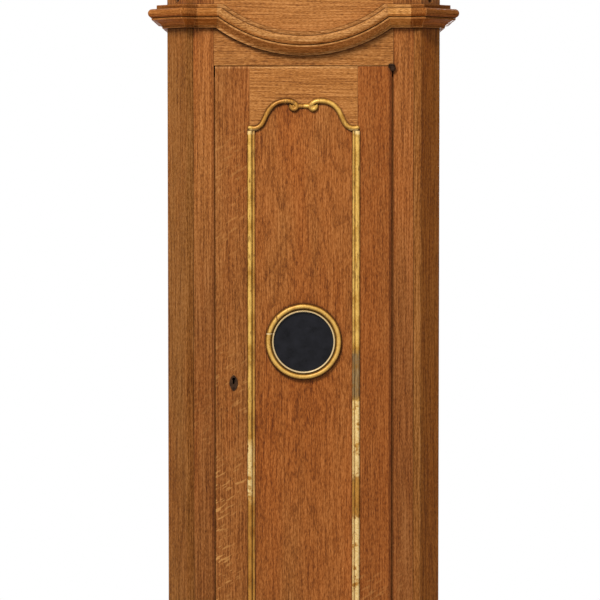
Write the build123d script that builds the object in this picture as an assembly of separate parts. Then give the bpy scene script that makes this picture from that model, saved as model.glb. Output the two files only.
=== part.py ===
from build123d import *
from math import asin, cos, degrees, pi, radians, sin, sqrt
import os

# Oak longcase clock in millimetres: +Z up, the front faces -Y, the back stands on the +Y wall plane,
# and the origin is on the floor at the middle of the footprint.

# Case plan, seen from above
TRUNK_WIDTH = 382.0
CASE_DEPTH = 230.0
CANT_WIDTH = 27.5
CANT_DEPTH = 30.0
RETURN_WIDTH = 9.5
RETURN_DEPTH = 5.0
STILE_WIDTH = 29.0
BASE_STEP = 20.0
FRAME_THICKNESS = 20.0
SIDE_THICKNESS = 18.0
HOOD_SIDE_THICKNESS = 15.0
POST_LAP = 14.0
BACK_THICKNESS = 15.0

# Storeys
SKIRTING_HEIGHT = 110.0
SKIRTING_THICKNESS = 14.0
BASE_HEIGHT = 450.0
TRUNK_HEIGHT = 1253.8
HOOD_HEIGHT = 374.7
HOOD_CLEARANCE = 0.4
CORNICE_HEIGHT = 50.0
CORNICE_PROJECTION = 32.0
ROOF_THICKNESS = 12.0
MITRE_OVERRUN = 60.0

# Throat moulding: the front length dips in a circular arc
THROAT_HEIGHT = 31.8
THROAT_PROJECTION = 26.6
THROAT_LEDGE_WIDTH = 12.0
THROAT_LEDGE_DROP = 5.4
THROAT_TORUS_RADIUS = 6.0
THROAT_QUIRK_DEPTH = 2.4
THROAT_QUIRK_HEIGHT = 0.9
THROAT_FILLET_HEIGHT = 2.1
THROAT_FOOT_PROJECTION = 7.0
THROAT_FOOT_HEIGHT = 3.0
DIP_HALF_CHORD = 112.0
DIP_SAGITTA = 38.8

# Base panel
BASE_STILE_WIDTH = 58.0
BASE_RAIL_WIDTH = 62.0
BASE_PANEL_THICKNESS = 12.0
BASE_PANEL_SETBACK = 3.0
BASE_PANEL_FIELD = 16.0
BASE_PANEL_SLOPE = 5.0

# Trunk door
DOOR_DROP = 85.5
DOOR_HEIGHT = 1058.3
DOOR_GAP = 1.0
DOOR_SIDE_GAP = 1.6
DOOR_STILE_WIDTH = 48.1
ARCH_DROP = 85.6
GILT_WIDTH = 6.4
GILT_HEIGHT = 5.0
GILT_STRIP_WIDTH = 10.0
GILT_FILLET_WIDTH = 2.2
GILT_FILLET_HEIGHT = 2.4
GILT_GROOVE_WIDTH = 1.2
GILT_GROOVE_FLOOR = 0.6
GILT_STRIP_GAP = 4.2
EAR_RADIUS = 15.0
EAR_SLOPE = 20.0
SHOULDER_ANGLE = 65.0
SHOULDER_LENGTH = 14.0
CROWN_RADIUS = 29.0
CROWN_FLAT = 2.4
CROWN_FALL_RADIUS = 15.0
CROWN_FALL_ANGLE = 50.0
VOLUTE_RADIUS = 3.7
VOLUTE_TURN = 250.0
VOLUTE_EYE_RADIUS = 3.8
REEL_RADIUS = 4.5
REEL_WAIST = 3.1

# Lenticle and lock
LENTICLE_DROP = 384.8
LENTICLE_RADIUS = 53.0
LENTICLE_SIGHT_RADIUS = 41.9
LENTICLE_HEIGHT = 7.5
LENTICLE_BEAD_WIDTH = 2.8
GLASS_THICKNESS = 3.0
GLASS_LAP = 2.6
GLASS_CLEARANCE = 0.2
KEYHOLE_X = 98.0
KEYHOLE_DROP = 437.3
KEYHOLE_RADIUS = 2.2
KEYHOLE_SLOT_WIDTH = 2.4
KEYHOLE_SLOT_LENGTH = 7.0
ESCUTCHEON_WIDTH = 11.5
ESCUTCHEON_HEIGHT = 22.0
ESCUTCHEON_DROP = 5.5
ESCUTCHEON_THICKNESS = 1.2
ESCUTCHEON_NAIL_RADIUS = 1.1
ESCUTCHEON_NAIL_RISE = 4.0
ESCUTCHEON_NAIL_PROUD = 0.8
LOCK_WIDTH = 44.0
LOCK_HEIGHT = 56.0
LOCK_DEPTH = 13.0
LOCK_WALL = 2.2
BOLT_HEIGHT = 12.0
BOLT_LENGTH = 34.0
BOLT_CLEARANCE = 0.2
BOLT_THROW = 8.0

# Pin hinges of both doors
HINGE_PIN_RADIUS = 1.5
HINGE_CLEARANCE = 0.05
HINGE_EYE_RADIUS = 3.5
HINGE_PLATE = 2.0
HINGE_PLATE_LENGTH = 22.0
HINGE_PLATE_DEPTH = 11.0
HINGE_PROUD = 3.9
HINGE_SETBACK = 3.0
HINGE_NECK = 4.0
KNUCKLE_RADIUS = 3.6

# Hood door, dial and hands
HOOD_DOOR_HALF_HEIGHT = 155.0
DIAL_RISE = 187.7
DIAL_RADIUS = 115.0
DIAL_THICKNESS = 2.0
DIAL_SETBACK = 34.0
DIAL_HOLE_RADIUS = 6.5
DIAL_FOOT_RADIUS = 3.0
DIAL_FOOT_X = 42.0
BEZEL_SIGHT_RADIUS = 106.0
BEZEL_WIDTH = 12.0
BEZEL_HEIGHT = 8.0
KNOB_RADIUS = 6.5
KNOB_LENGTH = 18.0
KNOB_PLATE = 1.6
KNOB_NECK_RADIUS = 3.0
MINUTE_HAND_LENGTH = 92.0
HOUR_HAND_LENGTH = 62.0
HAND_THICKNESS = 1.2
HAND_GAP = 2.6
HAND_CLEARANCE = 0.03
MINUTE_AT_REST = 9.0
HOUR_AT_REST = 10.0

# Fluted corner posts of the hood
FLUTE_RADIUS = 5.0
FLUTE_START = 2.0
REED_RADIUS = 2.6

# Movement
MOTION_SPACE = 20.0
PLATE_THICKNESS = 3.0
PLATE_GAP = 62.0
PLATE_HALF_WIDTH = 58.0
PLATE_TOP_MARGIN = 22.0
PILLAR_RADIUS = 5.0
PILLAR_INSET = 10.0
PIVOT_RADIUS = 1.5
ARBOR_MODULES = 2.6
PIVOT_CLEARANCE = 0.05
WHEEL_THICKNESS = 2.0
BARREL_DROP = 42.5
BARREL_RADIUS = 17.25
BARREL_LENGTH = 28.0
BARREL_FLANGE_RADIUS = 22.0
BARREL_FLANGE = 2.0
BARREL_PIVOT_RADIUS = 3.0
WINDING_SQUARE = 4.6
WINDING_SQUARE_PROUD = 0.5
RATCHET_RADIUS = 14.0
RATCHET_TEETH = 24
GREAT_TEETH = 96
CENTRE_TEETH = 70
THIRD_TEETH = 64
PINION_LEAVES = 8
ESCAPE_TEETH = 30
CANNON_TEETH = 24
MINUTE_TEETH = 36
MINUTE_PINION_LEAVES = 9
HOUR_TEETH = 72
MINUTE_WHEEL_X = 27.0
THIRD_X = 15.1
THIRD_RISE = 27.3
PALLET_RISE = 25.5
PALLET_CLEARANCE = 1.9
GREAT_PLANE = 8.0
ESCAPE_PLANE = 20.0
THIRD_PLANE = 31.0
CENTRE_PLANE = 48.0
SEAT_THICKNESS = 18.0
SEAT_CLEARANCE = 4.0
CHEEK_THICKNESS = 18.0
CHEEK_LENGTH = 220.0
CHEEK_FRONT_GAP = 20.0
SEAT_BACK_GAP = 30.0

# Pendulum
PENDULUM_LENGTH = 730.0
PENDULUM_SETBACK = 26.0
ROD_RADIUS = 3.0
ROD_TAIL = 26.0
BOB_RADIUS = 55.0
BOB_THICKNESS = 26.0
BOB_BORE_CLEARANCE = 0.1
RATING_NUT_RADIUS = 9.0
RATING_NUT_HEIGHT = 7.0
SPRING_WIDTH = 7.0
SPRING_THICKNESS = 0.5
SPRING_LENGTH = 24.0
PENDULUM_SWING = 3.0
CRUTCH_LENGTH = 88.0
CRUTCH_RADIUS = 1.6
FORK_CLEARANCE = 0.3

# Weight, pulley and line
WEIGHT_RADIUS = 28.0
WEIGHT_HEIGHT = 190.0
WEIGHT_LIFT = 905.0
PULLEY_RADIUS = 20.0
PULLEY_RIM = 2.0
PULLEY_WIDTH = 8.0
PULLEY_TOP_DROP = 50.0
PULLEY_PIN_RADIUS = 2.0
STIRRUP_THICKNESS = 2.0
STIRRUP_GAP = 0.6
STIRRUP_WIDTH = 10.0
LINE_RADIUS = 0.75
LINE_SEAT_GAP = 0.3

# Tooth outlines in modules: height above the pitch circle and half thickness
WHEEL_TOOTH = ((-1.3, 0.62), (0.0, 0.70), (1.0, 0.18))
PINION_LEAF = ((-1.45, 0.40), (0.0, 0.48), (0.62, 0.14))


class CasePlan:
    """Outline of one storey of the case seen from above, with a canted and ridged corner each side."""

    def __init__(self, half_width, arris_y):
        self.half = half_width
        self.arris_x = half_width - CANT_WIDTH
        self.arris_y = arris_y
        self.side_y = arris_y + CANT_DEPTH
        self.stile_x = self.arris_x - RETURN_WIDTH
        self.face_y = arris_y + RETURN_DEPTH

    def right_half(self, back_y):
        """Corner points of the right half, from the front stile round to the back."""
        return [
            (self.stile_x, self.face_y),
            (self.arris_x, self.arris_y),
            (self.half, self.side_y),
            (self.half, back_y),
        ]

    def post(self, thickness):
        """Plan of the right corner post, as thick as the side board it meets."""
        return [
            (self.stile_x, self.face_y),
            (self.arris_x, self.arris_y),
            (self.half, self.side_y),
            (self.half, self.side_y + POST_LAP),
            (self.half - thickness, self.side_y + POST_LAP),
            (self.stile_x, self.face_y + FRAME_THICKNESS),
        ]


def arris_reach():
    """How far a moulding reaches past the arris for each millimetre of its projection."""
    back_slope = Vector(-RETURN_DEPTH, -RETURN_WIDTH).normalized()
    cant_slope = Vector(CANT_DEPTH, -CANT_WIDTH).normalized()
    return -(back_slope.Y + cant_slope.Y) / (1 + back_slope.dot(cant_slope))


def arc_radius(half_chord, sagitta):
    return (half_chord**2 + sagitta**2) / (2 * sagitta)


# Planes and levels that follow from the sizes above
WALL_Y = (CASE_DEPTH + CORNICE_PROJECTION * arris_reach()) / 2
BACK_Y = WALL_Y - BACK_THICKNESS
TRUNK = CasePlan(TRUNK_WIDTH / 2, WALL_Y - CASE_DEPTH)
BASE = CasePlan(TRUNK.half + BASE_STEP, TRUNK.arris_y - BASE_STEP)
FACE_Y = TRUNK.face_y
INNER_Y = FACE_Y + FRAME_THICKNESS
OPENING_HALF = TRUNK.stile_x - STILE_WIDTH
DOOR_HALF = OPENING_HALF - DOOR_SIDE_GAP
TRUNK_TOP = BASE_HEIGHT + TRUNK_HEIGHT
DIP_RADIUS = arc_radius(DIP_HALF_CHORD, DIP_SAGITTA)
DIP_CENTRE_Z = TRUNK_TOP - DIP_SAGITTA + DIP_RADIUS
DOOR_TOP = TRUNK_TOP - DOOR_DROP
DOOR_BOTTOM = DOOR_TOP - DOOR_HEIGHT
LENTICLE_Z = DOOR_TOP - LENTICLE_DROP
KEYHOLE_Z = DOOR_TOP - KEYHOLE_DROP
PANEL_HALF = DOOR_HALF - DOOR_STILE_WIDTH
EAR_Z = DOOR_TOP - ARCH_DROP
HINGE_X = DOOR_HALF + DOOR_SIDE_GAP / 2
HINGE_Y = FACE_Y - HINGE_PROUD
HOOD_BOTTOM = TRUNK_TOP + HOOD_CLEARANCE
HOOD_BACK_Y = BACK_Y - HOOD_CLEARANCE
CORNICE_Z = TRUNK_TOP + HOOD_HEIGHT
ARCH_CENTRE_Z = CORNICE_Z + DIP_SAGITTA - DIP_RADIUS
DIAL_Z = TRUNK_TOP + DIAL_RISE
DIAL_Y = FACE_Y + DIAL_SETBACK
HOOD_DOOR_TOP = DIAL_Z + HOOD_DOOR_HALF_HEIGHT
HOOD_DOOR_BOTTOM = DIAL_Z - HOOD_DOOR_HALF_HEIGHT

# Planes of the movement, front to back
FRONT_PLATE_Y = DIAL_Y + DIAL_THICKNESS + MOTION_SPACE
TRAIN_Y = FRONT_PLATE_Y + PLATE_THICKNESS
BACK_PLATE_Y = TRAIN_Y + PLATE_GAP
COCK_SPACE_Y = BACK_PLATE_Y + PLATE_THICKNESS
PENDULUM_Y = COCK_SPACE_Y + PENDULUM_SETBACK
BARREL_Y = TRAIN_Y + GREAT_PLANE + 2 * WHEEL_THICKNESS
LINE_Y = BARREL_Y + BARREL_LENGTH / 2

# Arbors of the train, and the modules that make their wheels meet
SUSPENSION_Z = LENTICLE_Z + PENDULUM_LENGTH
BARREL_Z = DIAL_Z - BARREL_DROP
THIRD_Z = DIAL_Z + THIRD_RISE
ESCAPE_Z = SUSPENSION_Z - PALLET_RISE
ESCAPE_RADIUS = PALLET_RISE / sqrt(2)
GREAT_MODULE = 2 * BARREL_DROP / (GREAT_TEETH + PINION_LEAVES)
CENTRE_MODULE = 2 * sqrt(THIRD_X**2 + THIRD_RISE**2) / (CENTRE_TEETH + PINION_LEAVES)
THIRD_MODULE = 2 * sqrt(THIRD_X**2 + (ESCAPE_Z - THIRD_Z) ** 2) / (THIRD_TEETH + PINION_LEAVES)
CANNON_MODULE = 2 * MINUTE_WHEEL_X / (CANNON_TEETH + MINUTE_TEETH)
HOUR_MODULE = 2 * MINUTE_WHEEL_X / (HOUR_TEETH + MINUTE_PINION_LEAVES)
ARBOR_RADIUS = ARBOR_MODULES * min(GREAT_MODULE, CENTRE_MODULE, THIRD_MODULE)
SEAT_TOP = BARREL_Z - GREAT_MODULE * (GREAT_TEETH / 2 + 1) - SEAT_CLEARANCE
SEAT_BOTTOM = SEAT_TOP - SEAT_THICKNESS
PLATE_TOP = SUSPENSION_Z + PLATE_TOP_MARGIN

# The line hangs from the left of the barrel, round the pulley and back up to the seat board
LINE_WIND_RADIUS = BARREL_RADIUS + LINE_RADIUS
PULLEY_LINE_RADIUS = PULLEY_RADIUS + LINE_RADIUS
PULLEY_X = -LINE_WIND_RADIUS - PULLEY_LINE_RADIUS
PULLEY_Z = SEAT_BOTTOM - PULLEY_TOP_DROP - WEIGHT_LIFT
LINE_END_X = PULLEY_X - PULLEY_LINE_RADIUS


def box(x0, x1, y0, y1, z0, z1):
    """Block between two corners."""
    centre = Pos((x0 + x1) / 2, (y0 + y1) / 2, (z0 + z1) / 2)
    return centre * Box(x1 - x0, y1 - y0, z1 - z0)


def prism(plan, z0, z1):
    """Upright prism over plan points (x, y)."""
    return Pos(0, 0, z0) * extrude(make_face(Polyline(*plan, close=True)), amount=z1 - z0)


def slab(face, y0, y1):
    """Plate from y0 to y1 whose face is drawn in (x, z)."""
    back = Plane(origin=(0, y1, 0), x_dir=(1, 0, 0), z_dir=(0, -1, 0))
    return extrude(back * face, amount=y1 - y0)


def rod_y(x, z, radius, y0, y1):
    """Round rod along Y."""
    return slab(Pos(x, z) * Circle(radius), y0, y1)


def rod_z(x, y, radius, z0, z1):
    """Round rod along Z."""
    return Pos(x, y, (z0 + z1) / 2) * Cylinder(radius, z1 - z0)


def turned(outline, x, y, z):
    """Solid turned about Y at (x, z); the outline holds (radius, distance in front of y)."""
    face = Plane(origin=(x, y, z), x_dir=(1, 0, 0), z_dir=(0, 0, 1)) * mirror(outline, about=Plane.XZ)
    return revolve(face, Axis((x, y, z), (0, 1, 0)))


def cap_arc(radius, low, high):
    """Half of a round cap in section, from its crown on the axis down to its edge."""
    ball = arc_radius(radius, high - low)
    half_way = asin(radius / ball) / 2
    return ThreePointArc((0, high), (ball * sin(half_way), high - ball + ball * cos(half_way)), (radius, low))


def both_sides(solid):
    """The solid and its mirror image in the middle plane."""
    return [solid, mirror(solid, about=Plane.YZ)]


def group(solids):
    return Compound(children=list(solids))


def flipped(points):
    return [(-x, y) for x, y in reversed(points)]


def round_trip(plan, back_y):
    """Whole path of a plan, from the back left corner round the front to the back right."""
    right = plan.right_half(back_y)
    return flipped(right) + right


def moulding_length(profile, start, end, start_cut, end_cut):
    """One straight length of moulding, cut by planes with the given normals at its two ends."""
    direction = (end - start).normalized()
    outward = Vector(direction.Y, -direction.X, 0)
    section = Plane(origin=end + direction * MITRE_OVERRUN, x_dir=outward, z_dir=-direction)
    bar = extrude(section * profile, amount=(end - start).length + 2 * MITRE_OVERRUN)
    bar = split(bar, bisect_by=Plane(origin=start, z_dir=start_cut), keep=Keep.TOP)
    return split(bar, bisect_by=Plane(origin=end, z_dir=end_cut), keep=Keep.BOTTOM)


def mitred_run(profile, path, z, last_cut=None):
    """Lengths of moulding along plan points, mitred at every corner."""
    corners = [Vector(x, y, z) for x, y in path]
    ways = [(b - a).normalized() for a, b in zip(corners, corners[1:])]
    cuts = [ways[0]] + [a + b for a, b in zip(ways, ways[1:])] + [last_cut or ways[-1]]
    return [
        moulding_length(profile, corners[i], corners[i + 1], cuts[i], cuts[i + 1])
        for i in range(len(ways))
    ]


def bowed_length(profile, face_y, z, rise):
    """Front length that follows a circular arc: rise is +1 for an arch and -1 for a dip."""
    centre_z = z + rise * (DIP_SAGITTA - DIP_RADIUS)
    tilt = asin(DIP_HALF_CHORD / DIP_RADIUS)
    sweep_angle = degrees(tilt) + 15
    axis = Axis((0, 0, centre_z), (0, 1, 0))
    section = Plane(origin=(0, face_y, z + rise * DIP_SAGITTA), x_dir=(0, -1, 0), z_dir=(-1, 0, 0))
    face = (section * profile).rotate(axis, -sweep_angle)
    arc = revolve(face, axis, revolution_arc=2 * sweep_angle)
    for side, keep in ((-1, Keep.TOP), (1, Keep.BOTTOM)):
        normal = (1 + cos(tilt), 0, -side * rise * sin(tilt))
        arc = split(arc, bisect_by=Plane(origin=(side * DIP_HALF_CHORD, face_y, z), z_dir=normal), keep=keep)
    return arc


def bowed_run(profile, plan, back_y, z, rise):
    """Moulding round a plan whose front length rises or dips in the middle."""
    tilt = asin(DIP_HALF_CHORD / DIP_RADIUS)
    left = flipped(plan.right_half(back_y)) + [(-DIP_HALF_CHORD, plan.face_y)]
    kink = Vector(1 + cos(tilt), 0, rise * sin(tilt))
    lengths = mitred_run(profile, left, z, kink)
    straight = [solid for length in lengths for solid in both_sides(length)]
    return straight + [bowed_length(profile, plan.face_y, z, rise)]


def throat_profile():
    """Ledge, torus, quirk, fillet, hollow and foot, drawn downwards from the top of the trunk."""
    ledge = THROAT_PROJECTION - THROAT_LEDGE_WIDTH
    torus_top = -THROAT_LEDGE_DROP
    torus_foot = torus_top - 2 * THROAT_TORUS_RADIUS
    torus_p = THROAT_PROJECTION - THROAT_TORUS_RADIUS
    quirk_p = torus_p - THROAT_QUIRK_DEPTH
    fillet_p = torus_p + 1
    fillet_top = torus_foot - THROAT_QUIRK_HEIGHT
    fillet_foot = fillet_top - THROAT_FILLET_HEIGHT
    hollow_p = fillet_p - 2
    foot_p = THROAT_FOOT_PROJECTION
    foot_top = THROAT_FOOT_HEIGHT - THROAT_HEIGHT
    hollow_middle = ((hollow_p + foot_p) / 2 - 1.4, (fillet_foot + foot_top) / 2 + 0.6)
    lines = [
        Polyline((0, -THROAT_HEIGHT), (0, 0), (ledge, 0), (ledge, torus_top), (torus_p, torus_top)),
        ThreePointArc(
            (torus_p, torus_top), (THROAT_PROJECTION, (torus_top + torus_foot) / 2), (torus_p, torus_foot)
        ),
        Polyline(
            (torus_p, torus_foot),
            (quirk_p, torus_foot),
            (quirk_p, fillet_top),
            (fillet_p, fillet_top),
            (fillet_p, fillet_foot),
            (hollow_p, fillet_foot),
        ),
        ThreePointArc((hollow_p, fillet_foot), hollow_middle, (foot_p, foot_top)),
        Polyline((foot_p, foot_top), (foot_p, -THROAT_HEIGHT), (0, -THROAT_HEIGHT)),
    ]
    return make_face(lines)


def base_profile():
    """The throat section turned over, so that the torus lies on the top of the base."""
    return mirror(throat_profile(), about=Plane.XZ)


def cornice_profile():
    """Foot fillet, hollow, step, torus and top fillet, drawn upwards from the foot of the cornice."""
    foot = 5.0
    hollow_top = CORNICE_HEIGHT - 24
    torus_p = CORNICE_PROJECTION - 7
    torus_low = hollow_top + 4
    torus_high = CORNICE_HEIGHT - 6
    lines = [
        Polyline((0, 0), (foot, 0), (foot, 5)),
        ThreePointArc((foot, 5), (foot + 5, hollow_top - 7), (torus_p - 4, hollow_top)),
        Polyline((torus_p - 4, hollow_top), (torus_p, hollow_top), (torus_p, torus_low)),
        ThreePointArc(
            (torus_p, torus_low), (CORNICE_PROJECTION, (torus_low + torus_high) / 2), (torus_p, torus_high)
        ),
        Polyline(
            (torus_p, torus_high),
            (torus_p + 3, torus_high),
            (torus_p + 3, CORNICE_HEIGHT),
            (0, CORNICE_HEIGHT),
            (0, 0),
        ),
    ]
    return make_face(lines)


def skirting_profile():
    """Board with a hollowed top edge."""
    lip = 4.0
    hollow = SKIRTING_THICKNESS - lip
    lines = [
        Polyline((0, SKIRTING_HEIGHT), (0, 0), (SKIRTING_THICKNESS, 0)),
        Line((SKIRTING_THICKNESS, 0), (SKIRTING_THICKNESS, SKIRTING_HEIGHT - hollow)),
        ThreePointArc(
            (SKIRTING_THICKNESS, SKIRTING_HEIGHT - hollow),
            (lip + hollow * (1 - sin(radians(45))), SKIRTING_HEIGHT - hollow * sin(radians(45))),
            (lip, SKIRTING_HEIGHT),
        ),
        Line((lip, SKIRTING_HEIGHT), (0, SKIRTING_HEIGHT)),
    ]
    return make_face(lines)


def span_face(x0, x1, z0, z1):
    """Rectangle in (x, z)."""
    return Pos((x0 + x1) / 2, (z0 + z1) / 2) * Rectangle(x1 - x0, z1 - z0)


def arched_face(half_width, z0, rise_past_foot):
    """Upright face whose top follows the arch of the cornice, at a height above the cornice foot."""
    flat_z = CORNICE_Z + rise_past_foot
    radius = DIP_RADIUS + rise_past_foot
    below = span_face(-radius, radius, ARCH_CENTRE_Z - radius, flat_z)
    crown = Pos(0, ARCH_CENTRE_Z) * Circle(radius) - below
    return span_face(-half_width, half_width, z0, flat_z) + crown


def framed_box(plan, back_y, thickness, z0, z1):
    """Right corner post and right side board of one storey."""
    post = prism(plan.post(thickness), z0, z1)
    side = box(plan.half - thickness, plan.half, plan.side_y + POST_LAP, back_y, z0, z1)
    return post, side


def hinge_plate(low, high):
    """Flat iron plate behind the door face with a neck that comes forward to the hinge pin."""
    tail = HINGE_X - HINGE_PLATE_LENGTH
    front = FACE_Y + HINGE_SETBACK
    plate = box(tail, DOOR_HALF, front, front + HINGE_PLATE_DEPTH, low, high)
    return plate + box(DOOR_HALF - HINGE_NECK, DOOR_HALF, HINGE_Y, front, low, high)


def leaf_levels(edge_z, up):
    return sorted((edge_z, edge_z - up * HINGE_PLATE))


def bracket_levels(edge_z, up):
    return sorted((edge_z + up * DOOR_GAP, edge_z + up * (DOOR_GAP + HINGE_PLATE)))


def hinge_leaf(edge_z, up):
    """Iron leaf let into a door's top (up = 1) or bottom (up = -1) edge, with a ball knuckle on the pin."""
    levels = leaf_levels(edge_z, up)
    eye = rod_z(HINGE_X, HINGE_Y, HINGE_EYE_RADIUS, *levels)
    ball_z = edge_z - up * KNUCKLE_RADIUS
    ball = Pos(HINGE_X, HINGE_Y, ball_z) * Sphere(KNUCKLE_RADIUS)
    depth = sorted((edge_z + up, ball_z - up * KNUCKLE_RADIUS / 2))
    leaf = hinge_plate(*levels) + eye + ball
    return leaf - rod_z(HINGE_X, HINGE_Y, HINGE_PIN_RADIUS + HINGE_CLEARANCE, *depth)


def hinge_bracket(edge_z, up):
    """Iron plate let into the rail over the door edge, with the pin that enters the leaf."""
    levels = bracket_levels(edge_z, up)
    eye = rod_z(HINGE_X, HINGE_Y, HINGE_PIN_RADIUS + 1, *levels)
    pin = sorted((edge_z + up * (DOOR_GAP + HINGE_PLATE), edge_z - up * KNUCKLE_RADIUS))
    return hinge_plate(*levels) + eye + rod_z(HINGE_X, HINGE_Y, HINGE_PIN_RADIUS, *pin)


def case_nodes():
    """Base and trunk of the case."""
    base_post, base_side = framed_box(BASE, BACK_Y, SIDE_THICKNESS, 0, BASE_HEIGHT)
    trunk_post, trunk_side = framed_box(TRUNK, BACK_Y, SIDE_THICKNESS, BASE_HEIGHT, TRUNK_TOP)
    stile = box(OPENING_HALF, TRUNK.stile_x, FACE_Y, INNER_Y, BASE_HEIGHT, TRUNK_TOP)
    rail_face = span_face(-OPENING_HALF, OPENING_HALF, DOOR_TOP + DOOR_GAP, TRUNK_TOP)
    rail_face -= Pos(0, DIP_CENTRE_Z) * Circle(DIP_RADIUS)
    top_rail = slab(rail_face, FACE_Y, INNER_Y) - hinge_plate(*bracket_levels(DOOR_TOP, 1))
    bottom_rail = box(-OPENING_HALF, OPENING_HALF, FACE_Y, INNER_Y, BASE_HEIGHT, DOOR_BOTTOM - DOOR_GAP)
    bottom_rail -= hinge_plate(*bracket_levels(DOOR_BOTTOM, -1))
    back_face = arched_face(TRUNK.half, BASE_HEIGHT, CORNICE_HEIGHT)
    back_face += span_face(-BASE.half, BASE.half, 0, BASE_HEIGHT)
    return {
        "plinth_skirting": group(mitred_run(skirting_profile(), round_trip(BASE, WALL_Y), 0)),
        "base_corner_posts": group(both_sides(base_post)),
        "base_sides": group(both_sides(base_side)),
        "base_front_frame": group(base_frame()),
        "base_front_panel": base_panel(),
        "base_moulding": group(mitred_run(base_profile(), round_trip(TRUNK, WALL_Y), BASE_HEIGHT)),
        "backboard": slab(back_face, BACK_Y, WALL_Y),
        "trunk_sides": group(both_sides(trunk_side)),
        "trunk_corner_posts": group(both_sides(trunk_post)),
        "trunk_stiles": group(both_sides(stile)),
        "trunk_top_rail": top_rail,
        "trunk_bottom_rail": bottom_rail,
        "throat_moulding": group(bowed_run(throat_profile(), TRUNK, WALL_Y, TRUNK_TOP, -1)),
        "case_hinge_brackets": group([hinge_bracket(DOOR_TOP, 1), hinge_bracket(DOOR_BOTTOM, -1)]),
    }


def base_frame():
    """Two stiles and two rails across the front of the base."""
    y0, y1 = BASE.face_y, BASE.face_y + FRAME_THICKNESS
    inner = BASE.stile_x - BASE_STILE_WIDTH
    foot = SKIRTING_HEIGHT + BASE_RAIL_WIDTH
    stiles = both_sides(box(inner, BASE.stile_x, y0, y1, 0, BASE_HEIGHT))
    low_rail = box(-inner, inner, y0, y1, 0, foot)
    top_rail = box(-inner, inner, y0, y1, BASE_HEIGHT - BASE_RAIL_WIDTH, BASE_HEIGHT)
    return stiles + [low_rail, top_rail]


def base_panel():
    """Fielded panel with sloped margins, set just behind the face of its frame."""
    half = BASE.stile_x - BASE_STILE_WIDTH
    low = SKIRTING_HEIGHT + BASE_RAIL_WIDTH
    high = BASE_HEIGHT - BASE_RAIL_WIDTH
    front = BASE.face_y + BASE_PANEL_SETBACK
    panel = box(-half, half, front, front + BASE_PANEL_THICKNESS, low, high)
    face = panel.faces().sort_by(Axis.Y)[0]
    return chamfer(face.edges(), BASE_PANEL_FIELD, BASE_PANEL_SLOPE, reference=face)


def walk(start, heading, moves):
    """Chain of tangent lines and arcs in (x, z): a move is (length,) or (radius, turn in degrees)."""
    edges = []
    point = Vector(*start)
    for move in moves:
        if len(move) == 1:
            end = point + Vector(cos(radians(heading)), sin(radians(heading))) * move[0]
            edges.append(Line(point, end))
        else:
            radius, turn = move
            side = 1 if turn > 0 else -1
            centre = point + Vector(-sin(radians(heading)), cos(radians(heading))) * radius * side
            middle = (point - centre).rotate(Axis.Z, turn / 2) + centre
            end = (point - centre).rotate(Axis.Z, turn) + centre
            edges.append(ThreePointArc(point, middle, end))
            heading += turn
        point = end
    return edges


def arch_moves():
    """Ear, shoulder and crown of the left half of the gilt arch, up to its volute."""
    return [
        (EAR_RADIUS, EAR_SLOPE + SHOULDER_ANGLE),
        (SHOULDER_LENGTH,),
        (CROWN_RADIUS, -SHOULDER_ANGLE),
        (CROWN_FLAT,),
        (CROWN_FALL_RADIUS, -CROWN_FALL_ANGLE),
    ]


def panel_face():
    """Door panel outline: straight sides with the gilt arch's line at the top and bottom."""
    left = walk((-PANEL_HALF, EAR_Z), -EAR_SLOPE, arch_moves())
    top = left + [mirror(edge, about=Plane.YZ) for edge in left]
    middle_z = (DOOR_TOP + DOOR_BOTTOM) / 2
    turn_over = Plane(origin=(0, middle_z, 0), z_dir=(0, 1, 0))
    foot = [mirror(edge, about=turn_over) for edge in top]
    shoulder = left[-1] @ 1
    low_ear = 2 * middle_z - EAR_Z
    closing = [
        Line(shoulder, (-shoulder.X, shoulder.Y)),
        Line((shoulder.X, 2 * middle_z - shoulder.Y), (-shoulder.X, 2 * middle_z - shoulder.Y)),
        Line((-PANEL_HALF, EAR_Z), (-PANEL_HALF, low_ear)),
        Line((PANEL_HALF, EAR_Z), (PANEL_HALF, low_ear)),
    ]
    return make_face(top + foot + closing)


def gilt_arch():
    """Carved bead along both halves of the arch, ending in volutes joined by a small reel."""
    path = walk((-PANEL_HALF, EAR_Z), -EAR_SLOPE, arch_moves() + [(VOLUTE_RADIUS, -VOLUTE_TURN)])
    upright = Plane(origin=(0, FACE_Y, 0), x_dir=(1, 0, 0), z_dir=(0, -1, 0))
    wire = Wire([upright * edge for edge in path])
    half = GILT_WIDTH / 2
    bead = make_face([Line((-half, 0), (half, 0)), ThreePointArc((half, 0), (0, GILT_HEIGHT), (-half, 0))])
    across = Vector(sin(radians(EAR_SLOPE)), 0, cos(radians(EAR_SLOPE)))
    along = Vector(cos(radians(EAR_SLOPE)), 0, -sin(radians(EAR_SLOPE)))
    left = sweep(Plane(origin=wire @ 0, x_dir=across, z_dir=along) * bead, path=wire)
    shoulder = path[-2] @ 1
    eye = path[-1].arc_center
    dome = Pos(eye.X, FACE_Y, eye.Y) * Sphere(VOLUTE_EYE_RADIUS)
    ear = Pos(-PANEL_HALF, FACE_Y, EAR_Z) * Sphere(half)
    behind = box(-DOOR_HALF, DOOR_HALF, FACE_Y, INNER_Y, DOOR_BOTTOM, DOOR_TOP)
    reel = arch_reel(-shoulder.X, shoulder.Y - VOLUTE_RADIUS / 2)
    halves = [piece for part in (left, dome, ear) for piece in both_sides(part)]
    return halves[0].fuse(*halves[1:], reel) - behind


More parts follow.
